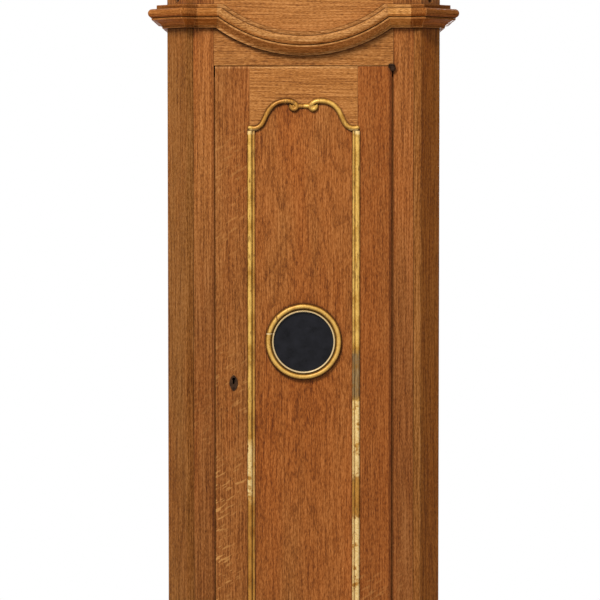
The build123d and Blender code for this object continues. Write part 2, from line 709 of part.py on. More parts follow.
def arch_reel(reach, z):
    """Reel between the two volutes: a spindle with a narrow waist."""
    outline = [
        Polyline((-reach, 0), (-reach, REEL_RADIUS)),
        ThreePointArc((-reach, REEL_RADIUS), (0, REEL_WAIST), (reach, REEL_RADIUS)),
        Polyline((reach, REEL_RADIUS), (reach, 0), (-reach, 0)),
    ]
    return Pos(0, FACE_Y, z) * revolve(make_face(outline), Axis.X)


def gilt_strip():
    """Upright strip of the left side: a half-round bead, a groove and a flat fillet next to the panel."""
    right = -PANEL_HALF - GILT_WIDTH / 2 + GILT_STRIP_WIDTH
    left = right - GILT_STRIP_WIDTH
    fillet = right - GILT_FILLET_WIDTH
    groove = fillet - GILT_GROOVE_WIDTH
    floor_y = FACE_Y - GILT_GROOVE_FLOOR
    front = FACE_Y - GILT_FILLET_HEIGHT
    crown = ((left + groove) / 2, FACE_Y - GILT_HEIGHT + GILT_GROOVE_FLOOR)
    outline = [
        Polyline((fillet, floor_y), (fillet, front), (right, front), (right, FACE_Y), (left, FACE_Y)),
        ThreePointArc((left, FACE_Y), crown, (groove, floor_y)),
        Line((groove, floor_y), (fillet, floor_y)),
    ]
    low = DOOR_BOTTOM + ARCH_DROP + GILT_STRIP_GAP
    high = EAR_Z - GILT_STRIP_GAP
    return Pos(0, 0, low) * extrude(make_face(outline), amount=high - low)


def gilt_moulding():
    """Both carved arches and both strips of the door."""
    arch = gilt_arch()
    middle = Plane(origin=(0, 0, (DOOR_TOP + DOOR_BOTTOM) / 2))
    return group([arch, mirror(arch, about=middle), *both_sides(gilt_strip())])


def lenticle_ring():
    """Gilt ring: broad outer torus, groove and thin inner bead."""
    inner = LENTICLE_SIGHT_RADIUS
    bead = inner + LENTICLE_BEAD_WIDTH
    groove = bead + 0.8
    crest = (groove + LENTICLE_RADIUS) / 2
    lines = [
        Polyline((inner, 0), (inner, 2.4)),
        ThreePointArc((inner, 2.4), (inner + LENTICLE_BEAD_WIDTH / 2, 4.2), (bead, 2.4)),
        Polyline((bead, 2.4), (bead, 1.6), (groove, 1.6), (groove, 2.6)),
        ThreePointArc((groove, 2.6), (crest, LENTICLE_HEIGHT), (LENTICLE_RADIUS, 2.0)),
        Polyline((LENTICLE_RADIUS, 2.0), (LENTICLE_RADIUS, 0), (inner, 0)),
    ]
    return turned(make_face(lines), 0, FACE_Y, LENTICLE_Z)


def keyhole_face():
    """Keyhole outline in (x, z): a round eye over a slot."""
    slot_low = KEYHOLE_Z - KEYHOLE_SLOT_LENGTH
    half = KEYHOLE_SLOT_WIDTH / 2
    return Pos(-KEYHOLE_X, KEYHOLE_Z) * Circle(KEYHOLE_RADIUS) + span_face(
        -KEYHOLE_X - half, -KEYHOLE_X + half, slot_low, KEYHOLE_Z
    )


def escutcheon():
    """Pointed oval iron plate round the keyhole, held by a nail at its foot."""
    middle_z = KEYHOLE_Z - ESCUTCHEON_DROP
    top = (-KEYHOLE_X, middle_z + ESCUTCHEON_HEIGHT / 2)
    foot = (-KEYHOLE_X, middle_z - ESCUTCHEON_HEIGHT / 2)
    half = ESCUTCHEON_WIDTH / 2
    sides = [ThreePointArc(top, (-KEYHOLE_X + side * half, middle_z), foot) for side in (-1, 1)]
    front = FACE_Y - ESCUTCHEON_THICKNESS
    plate = slab(make_face(sides) - keyhole_face(), front, FACE_Y)
    nail_z = foot[1] + ESCUTCHEON_NAIL_RISE
    nail = rod_y(-KEYHOLE_X, nail_z, ESCUTCHEON_NAIL_RADIUS, front - ESCUTCHEON_NAIL_PROUD, FACE_Y)
    return plate + nail


def lock_nodes():
    """Rim lock on the back of the lock stile and its sliding bolt."""
    left = -DOOR_HALF + 2.0
    case = box(
        left, left + LOCK_WIDTH, INNER_Y, INNER_Y + LOCK_DEPTH,
        KEYHOLE_Z - LOCK_HEIGHT / 2, KEYHOLE_Z + LOCK_HEIGHT / 2,
    )
    channel_y = (INNER_Y + LOCK_WALL, INNER_Y + LOCK_DEPTH - LOCK_WALL)
    high = KEYHOLE_Z + LOCK_HEIGHT / 2 - LOCK_WALL
    low = high - BOLT_HEIGHT - 2 * BOLT_CLEARANCE
    case -= box(left - 1, left + BOLT_LENGTH + BOLT_CLEARANCE, *channel_y, low, high)
    case -= slab(keyhole_face(), INNER_Y - 1, INNER_Y + LOCK_DEPTH / 2)
    bolt = box(
        left, left + BOLT_LENGTH, channel_y[0] + BOLT_CLEARANCE, channel_y[1] - BOLT_CLEARANCE,
        low + BOLT_CLEARANCE, high - BOLT_CLEARANCE,
    )
    return {"door_lock_case": case, "lock_bolt": bolt}


def door_nodes():
    """Trunk door: frame, panel, gilding, lenticle, lock and hinge leaves."""
    panel_outline = panel_face()
    glass_radius = LENTICLE_SIGHT_RADIUS + GLASS_LAP
    hole = Pos(0, LENTICLE_Z) * Circle(glass_radius + GLASS_CLEARANCE)
    lock_stile = box(-DOOR_HALF, -PANEL_HALF, FACE_Y, INNER_Y, DOOR_BOTTOM, DOOR_TOP)
    hinge_stile = box(PANEL_HALF, DOOR_HALF, FACE_Y, INNER_Y, DOOR_BOTTOM, DOOR_TOP)
    hinge_stile -= hinge_plate(*leaf_levels(DOOR_TOP, 1))
    hinge_stile -= hinge_plate(*leaf_levels(DOOR_BOTTOM, -1))
    top_rail = span_face(-PANEL_HALF, PANEL_HALF, EAR_Z - EAR_RADIUS, DOOR_TOP)
    foot_rail = span_face(-PANEL_HALF, PANEL_HALF, DOOR_BOTTOM, DOOR_BOTTOM + ARCH_DROP + EAR_RADIUS)
    nodes = {
        "door_lock_stile": lock_stile - slab(keyhole_face(), FACE_Y - 1, INNER_Y + 1),
        "door_hinge_stile": hinge_stile,
        "door_top_rail": slab(top_rail - panel_outline, FACE_Y, INNER_Y),
        "door_bottom_rail": slab(foot_rail - panel_outline, FACE_Y, INNER_Y),
        "door_panel": slab(panel_outline - hole, FACE_Y, INNER_Y),
        "door_gilt_moulding": gilt_moulding(),
        "lenticle_ring": lenticle_ring(),
        "lenticle_glass": rod_y(0, LENTICLE_Z, glass_radius, FACE_Y, FACE_Y + GLASS_THICKNESS),
        "keyhole_escutcheon": escutcheon(),
        "door_hinge_leaves": group([hinge_leaf(DOOR_TOP, 1), hinge_leaf(DOOR_BOTTOM, -1)]),
    }
    nodes.update(lock_nodes())
    return nodes


def fluted_post(post):
    """Hood corner post with one stopped flute in its canted face and a reed standing in the flute."""
    across = Vector(CANT_WIDTH, CANT_DEPTH).normalized()
    middle = Vector(TRUNK.arris_x + CANT_WIDTH / 2, TRUNK.arris_y + CANT_DEPTH / 2)
    outward = Vector(across.Y, -across.X)
    low = HOOD_BOTTOM + FLUTE_START + FLUTE_RADIUS
    high = CORNICE_Z - FLUTE_START - FLUTE_RADIUS
    flute = rod_z(middle.X, middle.Y, FLUTE_RADIUS, low, high)
    ends = [Pos(middle.X, middle.Y, z) * Sphere(FLUTE_RADIUS) for z in (low, high)]
    root = middle - outward * (FLUTE_RADIUS - REED_RADIUS / 2)
    reed = rod_z(root.X, root.Y, REED_RADIUS, low, high)
    return post - flute - ends[0] - ends[1] + reed


def hood_nodes():
    """Sliding hood: front frame, sides, cornice and roof."""
    wall_top = CORNICE_Z + CORNICE_HEIGHT - ROOF_THICKNESS
    post, side = framed_box(TRUNK, HOOD_BACK_Y, HOOD_SIDE_THICKNESS, HOOD_BOTTOM, wall_top)
    stile = box(OPENING_HALF, TRUNK.stile_x, FACE_Y, INNER_Y, HOOD_BOTTOM, wall_top)
    sill = HOOD_DOOR_BOTTOM - DOOR_GAP
    apron_face = span_face(-OPENING_HALF, OPENING_HALF, HOOD_BOTTOM, sill)
    hang = Pos(0, DIP_CENTRE_Z) * Circle(DIP_RADIUS - HOOD_CLEARANCE)
    apron_face += hang - span_face(-DIP_RADIUS, DIP_RADIUS, HOOD_BOTTOM, DIP_CENTRE_Z + DIP_RADIUS)
    apron = slab(apron_face, FACE_Y, INNER_Y) - hinge_plate(*bracket_levels(HOOD_DOOR_BOTTOM, -1))
    rail_foot = HOOD_DOOR_TOP + DOOR_GAP
    rail_face = arched_face(OPENING_HALF, rail_foot, CORNICE_HEIGHT - ROOF_THICKNESS)
    arch_rail = slab(rail_face, FACE_Y, INNER_Y) - hinge_plate(*bracket_levels(HOOD_DOOR_TOP, 1))
    roof_top = arched_face(TRUNK.half, wall_top - ROOF_THICKNESS, CORNICE_HEIGHT)
    roof_face = roof_top - arched_face(TRUNK.half, CORNICE_Z - DIP_RADIUS, CORNICE_HEIGHT - ROOF_THICKNESS)
    cornice = bowed_run(cornice_profile(), TRUNK, HOOD_BACK_Y, CORNICE_Z, 1)
    roof = slab(roof_face, FACE_Y, HOOD_BACK_Y) & case_prism(CORNICE_Z, CORNICE_Z + DIP_RADIUS)
    return {
        "hood_apron": apron,
        "hood_posts": group(both_sides(fluted_post(post)) + both_sides(stile)),
        "hood_sides": group(both_sides(side)),
        "hood_arch_rail": arch_rail,
        "hood_cornice": group(cornice),
        "hood_roof": roof,
        "hood_hinge_brackets": group([hinge_bracket(HOOD_DOOR_TOP, 1), hinge_bracket(HOOD_DOOR_BOTTOM, -1)]),
    }


def case_prism(z0, z1):
    """The whole plan of the trunk as a solid, used to trim boards to the canted corners."""
    return prism(round_trip(TRUNK, HOOD_BACK_Y), z0, z1)


def hood_door_nodes():
    """Hood door: a board with a round opening, its gilt bezel, glass, knob and hinge leaves."""
    glass_radius = BEZEL_SIGHT_RADIUS + GLASS_LAP
    frame = box(-DOOR_HALF, DOOR_HALF, FACE_Y, INNER_Y, HOOD_DOOR_BOTTOM, HOOD_DOOR_TOP)
    frame -= rod_y(0, DIAL_Z, glass_radius + GLASS_CLEARANCE, FACE_Y - 1, INNER_Y + 1)
    frame -= hinge_plate(*leaf_levels(HOOD_DOOR_TOP, 1))
    frame -= hinge_plate(*leaf_levels(HOOD_DOOR_BOTTOM, -1))
    inner = BEZEL_SIGHT_RADIUS
    outer = inner + BEZEL_WIDTH
    ring = [
        Polyline((inner, 0), (inner, 2.4)),
        ThreePointArc((inner, 2.4), ((inner + outer) / 2, BEZEL_HEIGHT), (outer, 2.0)),
        Polyline((outer, 2.0), (outer, 0), (inner, 0)),
    ]
    knob_x = -DOOR_HALF + 2 * KNOB_RADIUS
    knob_z = HOOD_DOOR_BOTTOM + (DIAL_Z - BEZEL_SIGHT_RADIUS - HOOD_DOOR_BOTTOM) / 2
    ball_y = FACE_Y - KNOB_LENGTH + KNOB_RADIUS
    knob = rod_y(knob_x, knob_z, KNOB_RADIUS, FACE_Y - KNOB_PLATE, FACE_Y)
    knob += rod_y(knob_x, knob_z, KNOB_NECK_RADIUS, ball_y, FACE_Y)
    knob += Pos(knob_x, ball_y, knob_z) * Sphere(KNOB_RADIUS)
    return {
        "hood_door_frame": frame,
        "hood_door_bezel": turned(make_face(ring), 0, FACE_Y, DIAL_Z),
        "hood_door_glass": rod_y(0, DIAL_Z, glass_radius, FACE_Y, FACE_Y + GLASS_THICKNESS),
        "hood_door_knob": knob,
        "hood_door_leaves": group([hinge_leaf(HOOD_DOOR_TOP, 1), hinge_leaf(HOOD_DOOR_BOTTOM, -1)]),
    }


def gear_face(teeth, module, form, phase):
    """Toothed outline about the origin, with one tooth centred on the phase angle in degrees."""
    points = []
    for i in range(teeth):
        middle = radians(phase) + 2 * pi * i / teeth
        flank = [(module * (teeth / 2 + rise), module * half) for rise, half in form]
        points += [(r, middle - half / r) for r, half in flank]
        points += [(r, middle + half / r) for r, half in reversed(flank)]
    return make_face(Polyline(*[(r * cos(a), r * sin(a)) for r, a in points], close=True))


def crossed_out(face, hub, rim, spokes):
    """Wheel face with openings between its spokes."""
    windows = Circle(rim) - Circle(hub)
    for i in range(spokes):
        windows -= Rot(0, 0, 360 * i / spokes) * Pos(rim / 2, 0) * Rectangle(rim, hub * 0.7)
    return face - windows


def wheel(x, z, y, teeth, module, phase, bore):
    """Crossed-out brass wheel about a bore."""
    rim = module * (teeth / 2 - 1.3) - 2.2
    face = crossed_out(gear_face(teeth, module, WHEEL_TOOTH, phase), bore + 3.0, rim, 4)
    return slab(Pos(x, z) * (face - Circle(bore)), y, y + WHEEL_THICKNESS)


def pinion(x, z, y0, y1, leaves, module, phase, bore):
    """Leaved pinion about a bore."""
    return slab(Pos(x, z) * (gear_face(leaves, module, PINION_LEAF, phase) - Circle(bore)), y0, y1)


def arbor(x, z, back_end):
    """Steel arbor between the plates with thinner pivots in them."""
    body = rod_y(x, z, ARBOR_RADIUS, TRAIN_Y + 1, BACK_PLATE_Y - 1)
    return body + rod_y(x, z, PIVOT_RADIUS, FRONT_PLATE_Y, back_end)


def line_angle(x0, z0, x1, z1):
    """Direction from one arbor to another, in degrees."""
    return Vector(1, 0).get_signed_angle(Vector(x1 - x0, z1 - z0), Vector(0, 0, 1))


def train_nodes():
    """Barrel, great wheel, centre, third and escape wheels, each turning on its arbor."""
    great_y = TRAIN_Y + GREAT_PLANE
    centre_y = TRAIN_Y + CENTRE_PLANE
    third_y = TRAIN_Y + THIRD_PLANE
    escape_y = TRAIN_Y + ESCAPE_PLANE
    mesh = 3.0
    half_leaf = 180 / PINION_LEAVES
    to_third = line_angle(0, DIAL_Z, THIRD_X, THIRD_Z)
    to_escape = line_angle(THIRD_X, THIRD_Z, 0, ESCAPE_Z)
    great = wheel(0, BARREL_Z, great_y, GREAT_TEETH, GREAT_MODULE, 90, BARREL_PIVOT_RADIUS + PIVOT_CLEARANCE)
    great += click(great_y + WHEEL_THICKNESS)
    centre = arbor(0, DIAL_Z, COCK_SPACE_Y) + rod_y(0, DIAL_Z, PIVOT_RADIUS, DIAL_Y - 2 * HAND_GAP, TRAIN_Y)
    centre += wheel(0, DIAL_Z, centre_y, CENTRE_TEETH, CENTRE_MODULE, to_third, ARBOR_RADIUS)
    centre += pinion(
        0, DIAL_Z, great_y - mesh, great_y + WHEEL_THICKNESS + mesh,
        PINION_LEAVES, GREAT_MODULE, 270 + half_leaf, ARBOR_RADIUS / 2,
    )
    third = arbor(THIRD_X, THIRD_Z, COCK_SPACE_Y)
    third += wheel(THIRD_X, THIRD_Z, third_y, THIRD_TEETH, THIRD_MODULE, to_escape, ARBOR_RADIUS)
    third += pinion(
        THIRD_X, THIRD_Z, centre_y - mesh, centre_y + WHEEL_THICKNESS + mesh,
        PINION_LEAVES, CENTRE_MODULE, to_third + 180 + half_leaf, ARBOR_RADIUS / 2,
    )
    escape = arbor(0, ESCAPE_Z, COCK_SPACE_Y) + escape_wheel(escape_y)
    escape += pinion(
        0, ESCAPE_Z, third_y - mesh, third_y + WHEEL_THICKNESS + mesh,
        PINION_LEAVES, THIRD_MODULE, to_escape + 180 + half_leaf, ARBOR_RADIUS / 2,
    )
    return {
        "winding_barrel": winding_barrel(),
        "great_wheel": great,
        "centre_wheel": centre,
        "third_wheel": third,
        "escape_wheel": escape,
    }


def saw_face(teeth, tip, root, lean):
    """Saw-toothed outline, as a ratchet or an escape wheel has."""
    points = []
    for i in range(teeth):
        start = 2 * pi * i / teeth
        pitch = 2 * pi / teeth
        for radius, share in ((root, 0.0), (tip, lean), (tip, lean + 0.08)):
            angle = start + pitch * share
            points.append((radius * cos(angle), radius * sin(angle)))
    return make_face(Polyline(*points, close=True))


def escape_wheel(y):
    """Escape wheel with pointed teeth."""
    root = ESCAPE_RADIUS * 0.8
    face = crossed_out(saw_face(ESCAPE_TEETH, ESCAPE_RADIUS, root, 0.35), ARBOR_RADIUS + 2, root - 2, 4)
    return slab(Pos(0, ESCAPE_Z) * (face - Circle(ARBOR_RADIUS)), y, y + WHEEL_THICKNESS)


def winding_barrel():
    """Barrel with its end flange, ratchet, arbor and the square that takes the winding key."""
    end_y = BARREL_Y + BARREL_LENGTH
    ratchet = saw_face(RATCHET_TEETH, RATCHET_RADIUS, RATCHET_RADIUS - 2, 0.8)
    body = rod_y(0, BARREL_Z, BARREL_RADIUS, BARREL_Y, end_y)
    body += rod_y(0, BARREL_Z, BARREL_FLANGE_RADIUS, BARREL_Y, BARREL_Y + BARREL_FLANGE)
    body += rod_y(0, BARREL_Z, BARREL_FLANGE_RADIUS, end_y - BARREL_FLANGE, end_y)
    body += slab(Pos(0, BARREL_Z) * ratchet, BARREL_Y - WHEEL_THICKNESS, BARREL_Y)
    body += rod_y(0, BARREL_Z, BARREL_PIVOT_RADIUS, FRONT_PLATE_Y, COCK_SPACE_Y)
    square = Pos(0, BARREL_Z) * Rectangle(WINDING_SQUARE, WINDING_SQUARE)
    return body + slab(square, DIAL_Y - WINDING_SQUARE_PROUD, FRONT_PLATE_Y)


def click(y):
    """Click of the ratchet on the great wheel, standing just clear of the ratchet's tips."""
    reach = RATCHET_RADIUS + 0.4
    rim = GREAT_MODULE * (GREAT_TEETH / 2 - 1.3) - 1
    points = [(reach, -3), (reach, 1.5), (reach + 5, 3), (rim, 2.5), (rim, -2.5), (reach + 5, -3)]
    thickness = WHEEL_THICKNESS - 0.4
    return slab(Pos(0, BARREL_Z) * make_face(Polyline(*points, close=True)), y, y + thickness)


def pallet_anchor():
    """Anchor over the escape wheel with its arbor, and the crutch that reaches the pendulum rod."""
    inner = ESCAPE_RADIUS + PALLET_CLEARANCE
    depth = 5.0
    span = 50.0
    y = TRAIN_Y + ESCAPE_PLANE
    arch = Circle(inner + depth) - Circle(inner)
    wing = 3 * ESCAPE_RADIUS
    reach = Polyline(
        (0, 0),
        (wing * sin(radians(span)), wing * cos(radians(span))),
        (wing * sin(radians(span)), 2 * wing),
        (-wing * sin(radians(span)), 2 * wing),
        (-wing * sin(radians(span)), wing * cos(radians(span))),
        close=True,
    )
    anchor = slab(Pos(0, ESCAPE_Z) * (arch & make_face(reach)), y, y + WHEEL_THICKNESS)
    anchor += rod_y(0, SUSPENSION_Z, 2 * ARBOR_RADIUS, y, y + WHEEL_THICKNESS)
    crutch_y = COCK_SPACE_Y + 3 + CRUTCH_RADIUS
    anchor += rod_y(0, SUSPENSION_Z, ARBOR_RADIUS, TRAIN_Y + 1, crutch_y + 2 * CRUTCH_RADIUS)
    anchor += rod_y(0, SUSPENSION_Z, PIVOT_RADIUS, FRONT_PLATE_Y, cock_plane() + PLATE_THICKNESS)
    low = SUSPENSION_Z - CRUTCH_LENGTH
    anchor += rod_z(0, crutch_y, CRUTCH_RADIUS, low, SUSPENSION_Z)
    half = ROD_RADIUS + FORK_CLEARANCE
    fork = box(-half - 2, half + 2, crutch_y - CRUTCH_RADIUS, PENDULUM_Y + ROD_RADIUS, low - 2, low + 2)
    fork -= box(-half, half, PENDULUM_Y - half, PENDULUM_Y + 2 * half, low - 3, low + 3)
    return anchor + fork


def cock_plane():
    """Front of the cock's upright plate."""
    return COCK_SPACE_Y + 12.0


def suspension_cock():
    """Brass cock on the back plate: feet, upright plate and the block whose slot holds the spring."""
    front = cock_plane()
    half = 24.0
    low = SUSPENSION_Z - 10
    high = SUSPENSION_Z + PLATE_TOP_MARGIN
    plate = box(-half, half, front, front + PLATE_THICKNESS, low, high)
    feet = [box(side - 4, side + 4, COCK_SPACE_Y, front, low, high) for side in (4 - half, half - 4)]
    block_back = PENDULUM_Y + SPRING_WIDTH / 2 + 2
    block = box(-9, 9, front + PLATE_THICKNESS, block_back, SUSPENSION_Z + 3, high - 4)
    slot = SPRING_THICKNESS / 2 + PLATE_TOP_MARGIN * sin(radians(PENDULUM_SWING)) + 0.3
    block -= box(-slot, slot, front + PLATE_THICKNESS + 1, block_back + 1, SUSPENSION_Z, high)
    plate -= rod_y(0, SUSPENSION_Z, PIVOT_RADIUS + PIVOT_CLEARANCE, front - 1, front + PLATE_THICKNESS + 1)
    return plate + feet[0] + feet[1] + block


def plate_face():
    """Outline of both movement plates in (x, z), standing on the seat board."""
    return span_face(-PLATE_HALF_WIDTH, PLATE_HALF_WIDTH, SEAT_TOP, PLATE_TOP)


def plate_holes(pallet_radius, centre_radius):
    """Pivot holes of the train."""
    third = PIVOT_RADIUS + PIVOT_CLEARANCE
    return [
        Pos(0, BARREL_Z) * Circle(BARREL_PIVOT_RADIUS + PIVOT_CLEARANCE),
        Pos(0, DIAL_Z) * Circle(centre_radius),
        Pos(THIRD_X, THIRD_Z) * Circle(third),
        Pos(0, ESCAPE_Z) * Circle(third),
        Pos(0, SUSPENSION_Z) * Circle(pallet_radius),
    ]


def movement_frame_nodes():
    """Plates, pillars, dial, seat board and the cheeks that carry it."""
    snug = PIVOT_RADIUS + PIVOT_CLEARANCE
    front_face = plate_face()
    for hole in plate_holes(snug, snug):
        front_face -= hole
    back_face = plate_face()
    for hole in plate_holes(2 * ARBOR_RADIUS, snug):
        back_face -= hole
    stud_end = FRONT_PLATE_Y - MOTION_SPACE + 4
    stud = rod_y(MINUTE_WHEEL_X, DIAL_Z, PIVOT_RADIUS, stud_end, TRAIN_Y)
    front = slab(front_face, FRONT_PLATE_Y, TRAIN_Y) + stud
    back = slab(back_face, BACK_PLATE_Y, COCK_SPACE_Y)
    pillar_x = PLATE_HALF_WIDTH - PILLAR_INSET
    for x in (-pillar_x, pillar_x):
        for z in (SEAT_TOP + PILLAR_INSET, PLATE_TOP - PILLAR_INSET):
            back += rod_y(x, z, PILLAR_RADIUS, TRAIN_Y, BACK_PLATE_Y)
    dial_face = Pos(0, DIAL_Z) * Circle(DIAL_RADIUS)
    dial_face -= Pos(0, DIAL_Z) * Circle(DIAL_HOLE_RADIUS)
    dial_face -= Pos(0, BARREL_Z) * Circle(DIAL_HOLE_RADIUS)
    dial = slab(dial_face, DIAL_Y, DIAL_Y + DIAL_THICKNESS)
    for x in (-DIAL_FOOT_X, DIAL_FOOT_X):
        for z in (BARREL_Z, PLATE_TOP - 2 * PILLAR_INSET):
            dial += rod_y(x, z, DIAL_FOOT_RADIUS, DIAL_Y, FRONT_PLATE_Y)
    nodes = {"front_plate": front, "back_plate": back, "dial": dial, "suspension_cock": suspension_cock()}
    nodes.update(seat_nodes())
    return nodes


def seat_nodes():
    """Seat board with its slots for the line and the pendulum, on two cheeks inside the trunk sides."""
    front = INNER_Y + CHEEK_FRONT_GAP
    back = BACK_Y - SEAT_BACK_GAP
    half = TRUNK.half - SIDE_THICKNESS
    seat = box(-half, half, front, back, SEAT_BOTTOM, SEAT_TOP)
    slot_half = 4.0
    seat -= box(
        -LINE_WIND_RADIUS - slot_half, -LINE_WIND_RADIUS + slot_half,
        LINE_Y - BARREL_LENGTH / 2, LINE_Y + BARREL_LENGTH / 2, SEAT_BOTTOM - 1, SEAT_TOP + 1,
    )
    swing = ROD_RADIUS + (SUSPENSION_Z - SEAT_BOTTOM) * sin(radians(PENDULUM_SWING)) + 2 * slot_half
    fore = PENDULUM_Y - 3 * slot_half
    seat -= box(-swing, swing, fore, PENDULUM_Y + 3 * slot_half, SEAT_BOTTOM - 1, SEAT_TOP + 1)
    cheek = box(half - CHEEK_THICKNESS, half, front, back, SEAT_BOTTOM - CHEEK_LENGTH, SEAT_BOTTOM)
    return {"seat_board": seat, "movement_cheeks": group(both_sides(cheek))}


def hand(length, width, bore, y, turn):
    """Pierced hand: collet, tapering blade and a ring at two thirds of its length."""
    ring_z = length * 0.62
    ring = width * 1.5
    blade = make_face(
        Polyline(
            (-width / 2, 0), (width / 2, 0), (width * 0.32, ring_z), (0.5, length),
            (-0.5, length), (-width * 0.32, ring_z), close=True,
        )
    )
    face = blade + Circle(bore + 4) + Pos(0, ring_z) * Circle(ring)
    face -= Pos(0, ring_z) * Circle(ring * 0.62)
    face -= Circle(bore)
    return slab(Pos(0, DIAL_Z) * Rot(0, 0, -turn) * face, y - HAND_THICKNESS, y)


def motion_nodes():
    """Motion work behind the dial and the two hands in front of it."""
    cannon_y = FRONT_PLATE_Y - 2 * WHEEL_THICKNESS
    minute_y = cannon_y
    hour_y = minute_y - 2 * WHEEL_THICKNESS
    hour_hand_y = DIAL_Y - HAND_GAP
    minute_hand_y = hour_hand_y - HAND_THICKNESS - HAND_GAP
    bore = PIVOT_RADIUS + PIVOT_CLEARANCE
    pipe = bore + 1.2
    sleeve = pipe + PIVOT_CLEARANCE
    half_leaf = 180 / MINUTE_PINION_LEAVES
    cannon = slab(
        Pos(0, DIAL_Z) * (gear_face(CANNON_TEETH, CANNON_MODULE, WHEEL_TOOTH, 0) - Circle(bore)),
        cannon_y, cannon_y + WHEEL_THICKNESS,
    )
    cannon += slab(Pos(0, DIAL_Z) * (Circle(pipe) - Circle(bore)), minute_hand_y - HAND_THICKNESS, cannon_y)
    hour = wheel(0, DIAL_Z, hour_y, HOUR_TEETH, HOUR_MODULE, 0, sleeve)
    hour += slab(
        Pos(0, DIAL_Z) * (Circle(sleeve + 1.2) - Circle(sleeve)), hour_hand_y - HAND_THICKNESS, hour_y
    )
    minute = wheel(
        MINUTE_WHEEL_X, DIAL_Z, minute_y, MINUTE_TEETH, CANNON_MODULE, 180 + 180 / MINUTE_TEETH, bore
    )
    minute += pinion(
        MINUTE_WHEEL_X, DIAL_Z, hour_y - 1, minute_y, MINUTE_PINION_LEAVES, HOUR_MODULE, 180 + half_leaf, bore
    )
    minute_turn = 6 * MINUTE_AT_REST
    hour_turn = 30 * HOUR_AT_REST + minute_turn / 12
    return {
        "cannon_pinion": cannon,
        "minute_hand": hand(MINUTE_HAND_LENGTH, 5.0, pipe + HAND_CLEARANCE, minute_hand_y, minute_turn),
        "hour_wheel": hour,
        "hour_hand": hand(HOUR_HAND_LENGTH, 6.0, sleeve + 1.2 + HAND_CLEARANCE, hour_hand_y, hour_turn),
        "minute_wheel": minute,
    }


def pendulum_nodes():
    """Rod on its suspension spring, lens bob and the rating nut under it."""
    rod_top = SUSPENSION_Z - SPRING_LENGTH
    rod_end = LENTICLE_Z - BOB_RADIUS - ROD_TAIL
    block_top = SUSPENSION_Z + PLATE_TOP_MARGIN - 4
    half = SPRING_WIDTH / 2
    spring_half = SPRING_THICKNESS / 2
    rod = rod_z(0, PENDULUM_Y, ROD_RADIUS, rod_end, rod_top + 6)
    rod += box(-spring_half, spring_half, PENDULUM_Y - half, PENDULUM_Y + half, rod_top, block_top + 2)
    rod += box(-4, 4, PENDULUM_Y - half, PENDULUM_Y + half, block_top + 0.4, block_top + 3)
    bulge = BOB_THICKNESS / 2
    edge = 1.5
    crown = cap_arc(BOB_RADIUS, edge, bulge)
    rim = Line((BOB_RADIUS, edge), (BOB_RADIUS, -edge))
    lens = make_face([Line((0, -bulge), (0, bulge)), crown, rim, mirror(crown, about=Plane.XZ)])
    bore = ROD_RADIUS + BOB_BORE_CLEARANCE
    bob = turned(lens, 0, PENDULUM_Y, LENTICLE_Z)
    bob -= rod_z(0, PENDULUM_Y, bore, LENTICLE_Z - 2 * BOB_RADIUS, LENTICLE_Z + 2 * BOB_RADIUS)
    nut_top = LENTICLE_Z - sqrt(BOB_RADIUS**2 - bore**2)
    nut = rod_z(0, PENDULUM_Y, RATING_NUT_RADIUS, nut_top - RATING_NUT_HEIGHT, nut_top)
    nut -= rod_z(0, PENDULUM_Y, bore, nut_top - 2 * RATING_NUT_HEIGHT, nut_top + RATING_NUT_HEIGHT)
    nut -= bob
    return {"pendulum_rod": rod, "pendulum_bob": group([bob, nut])}


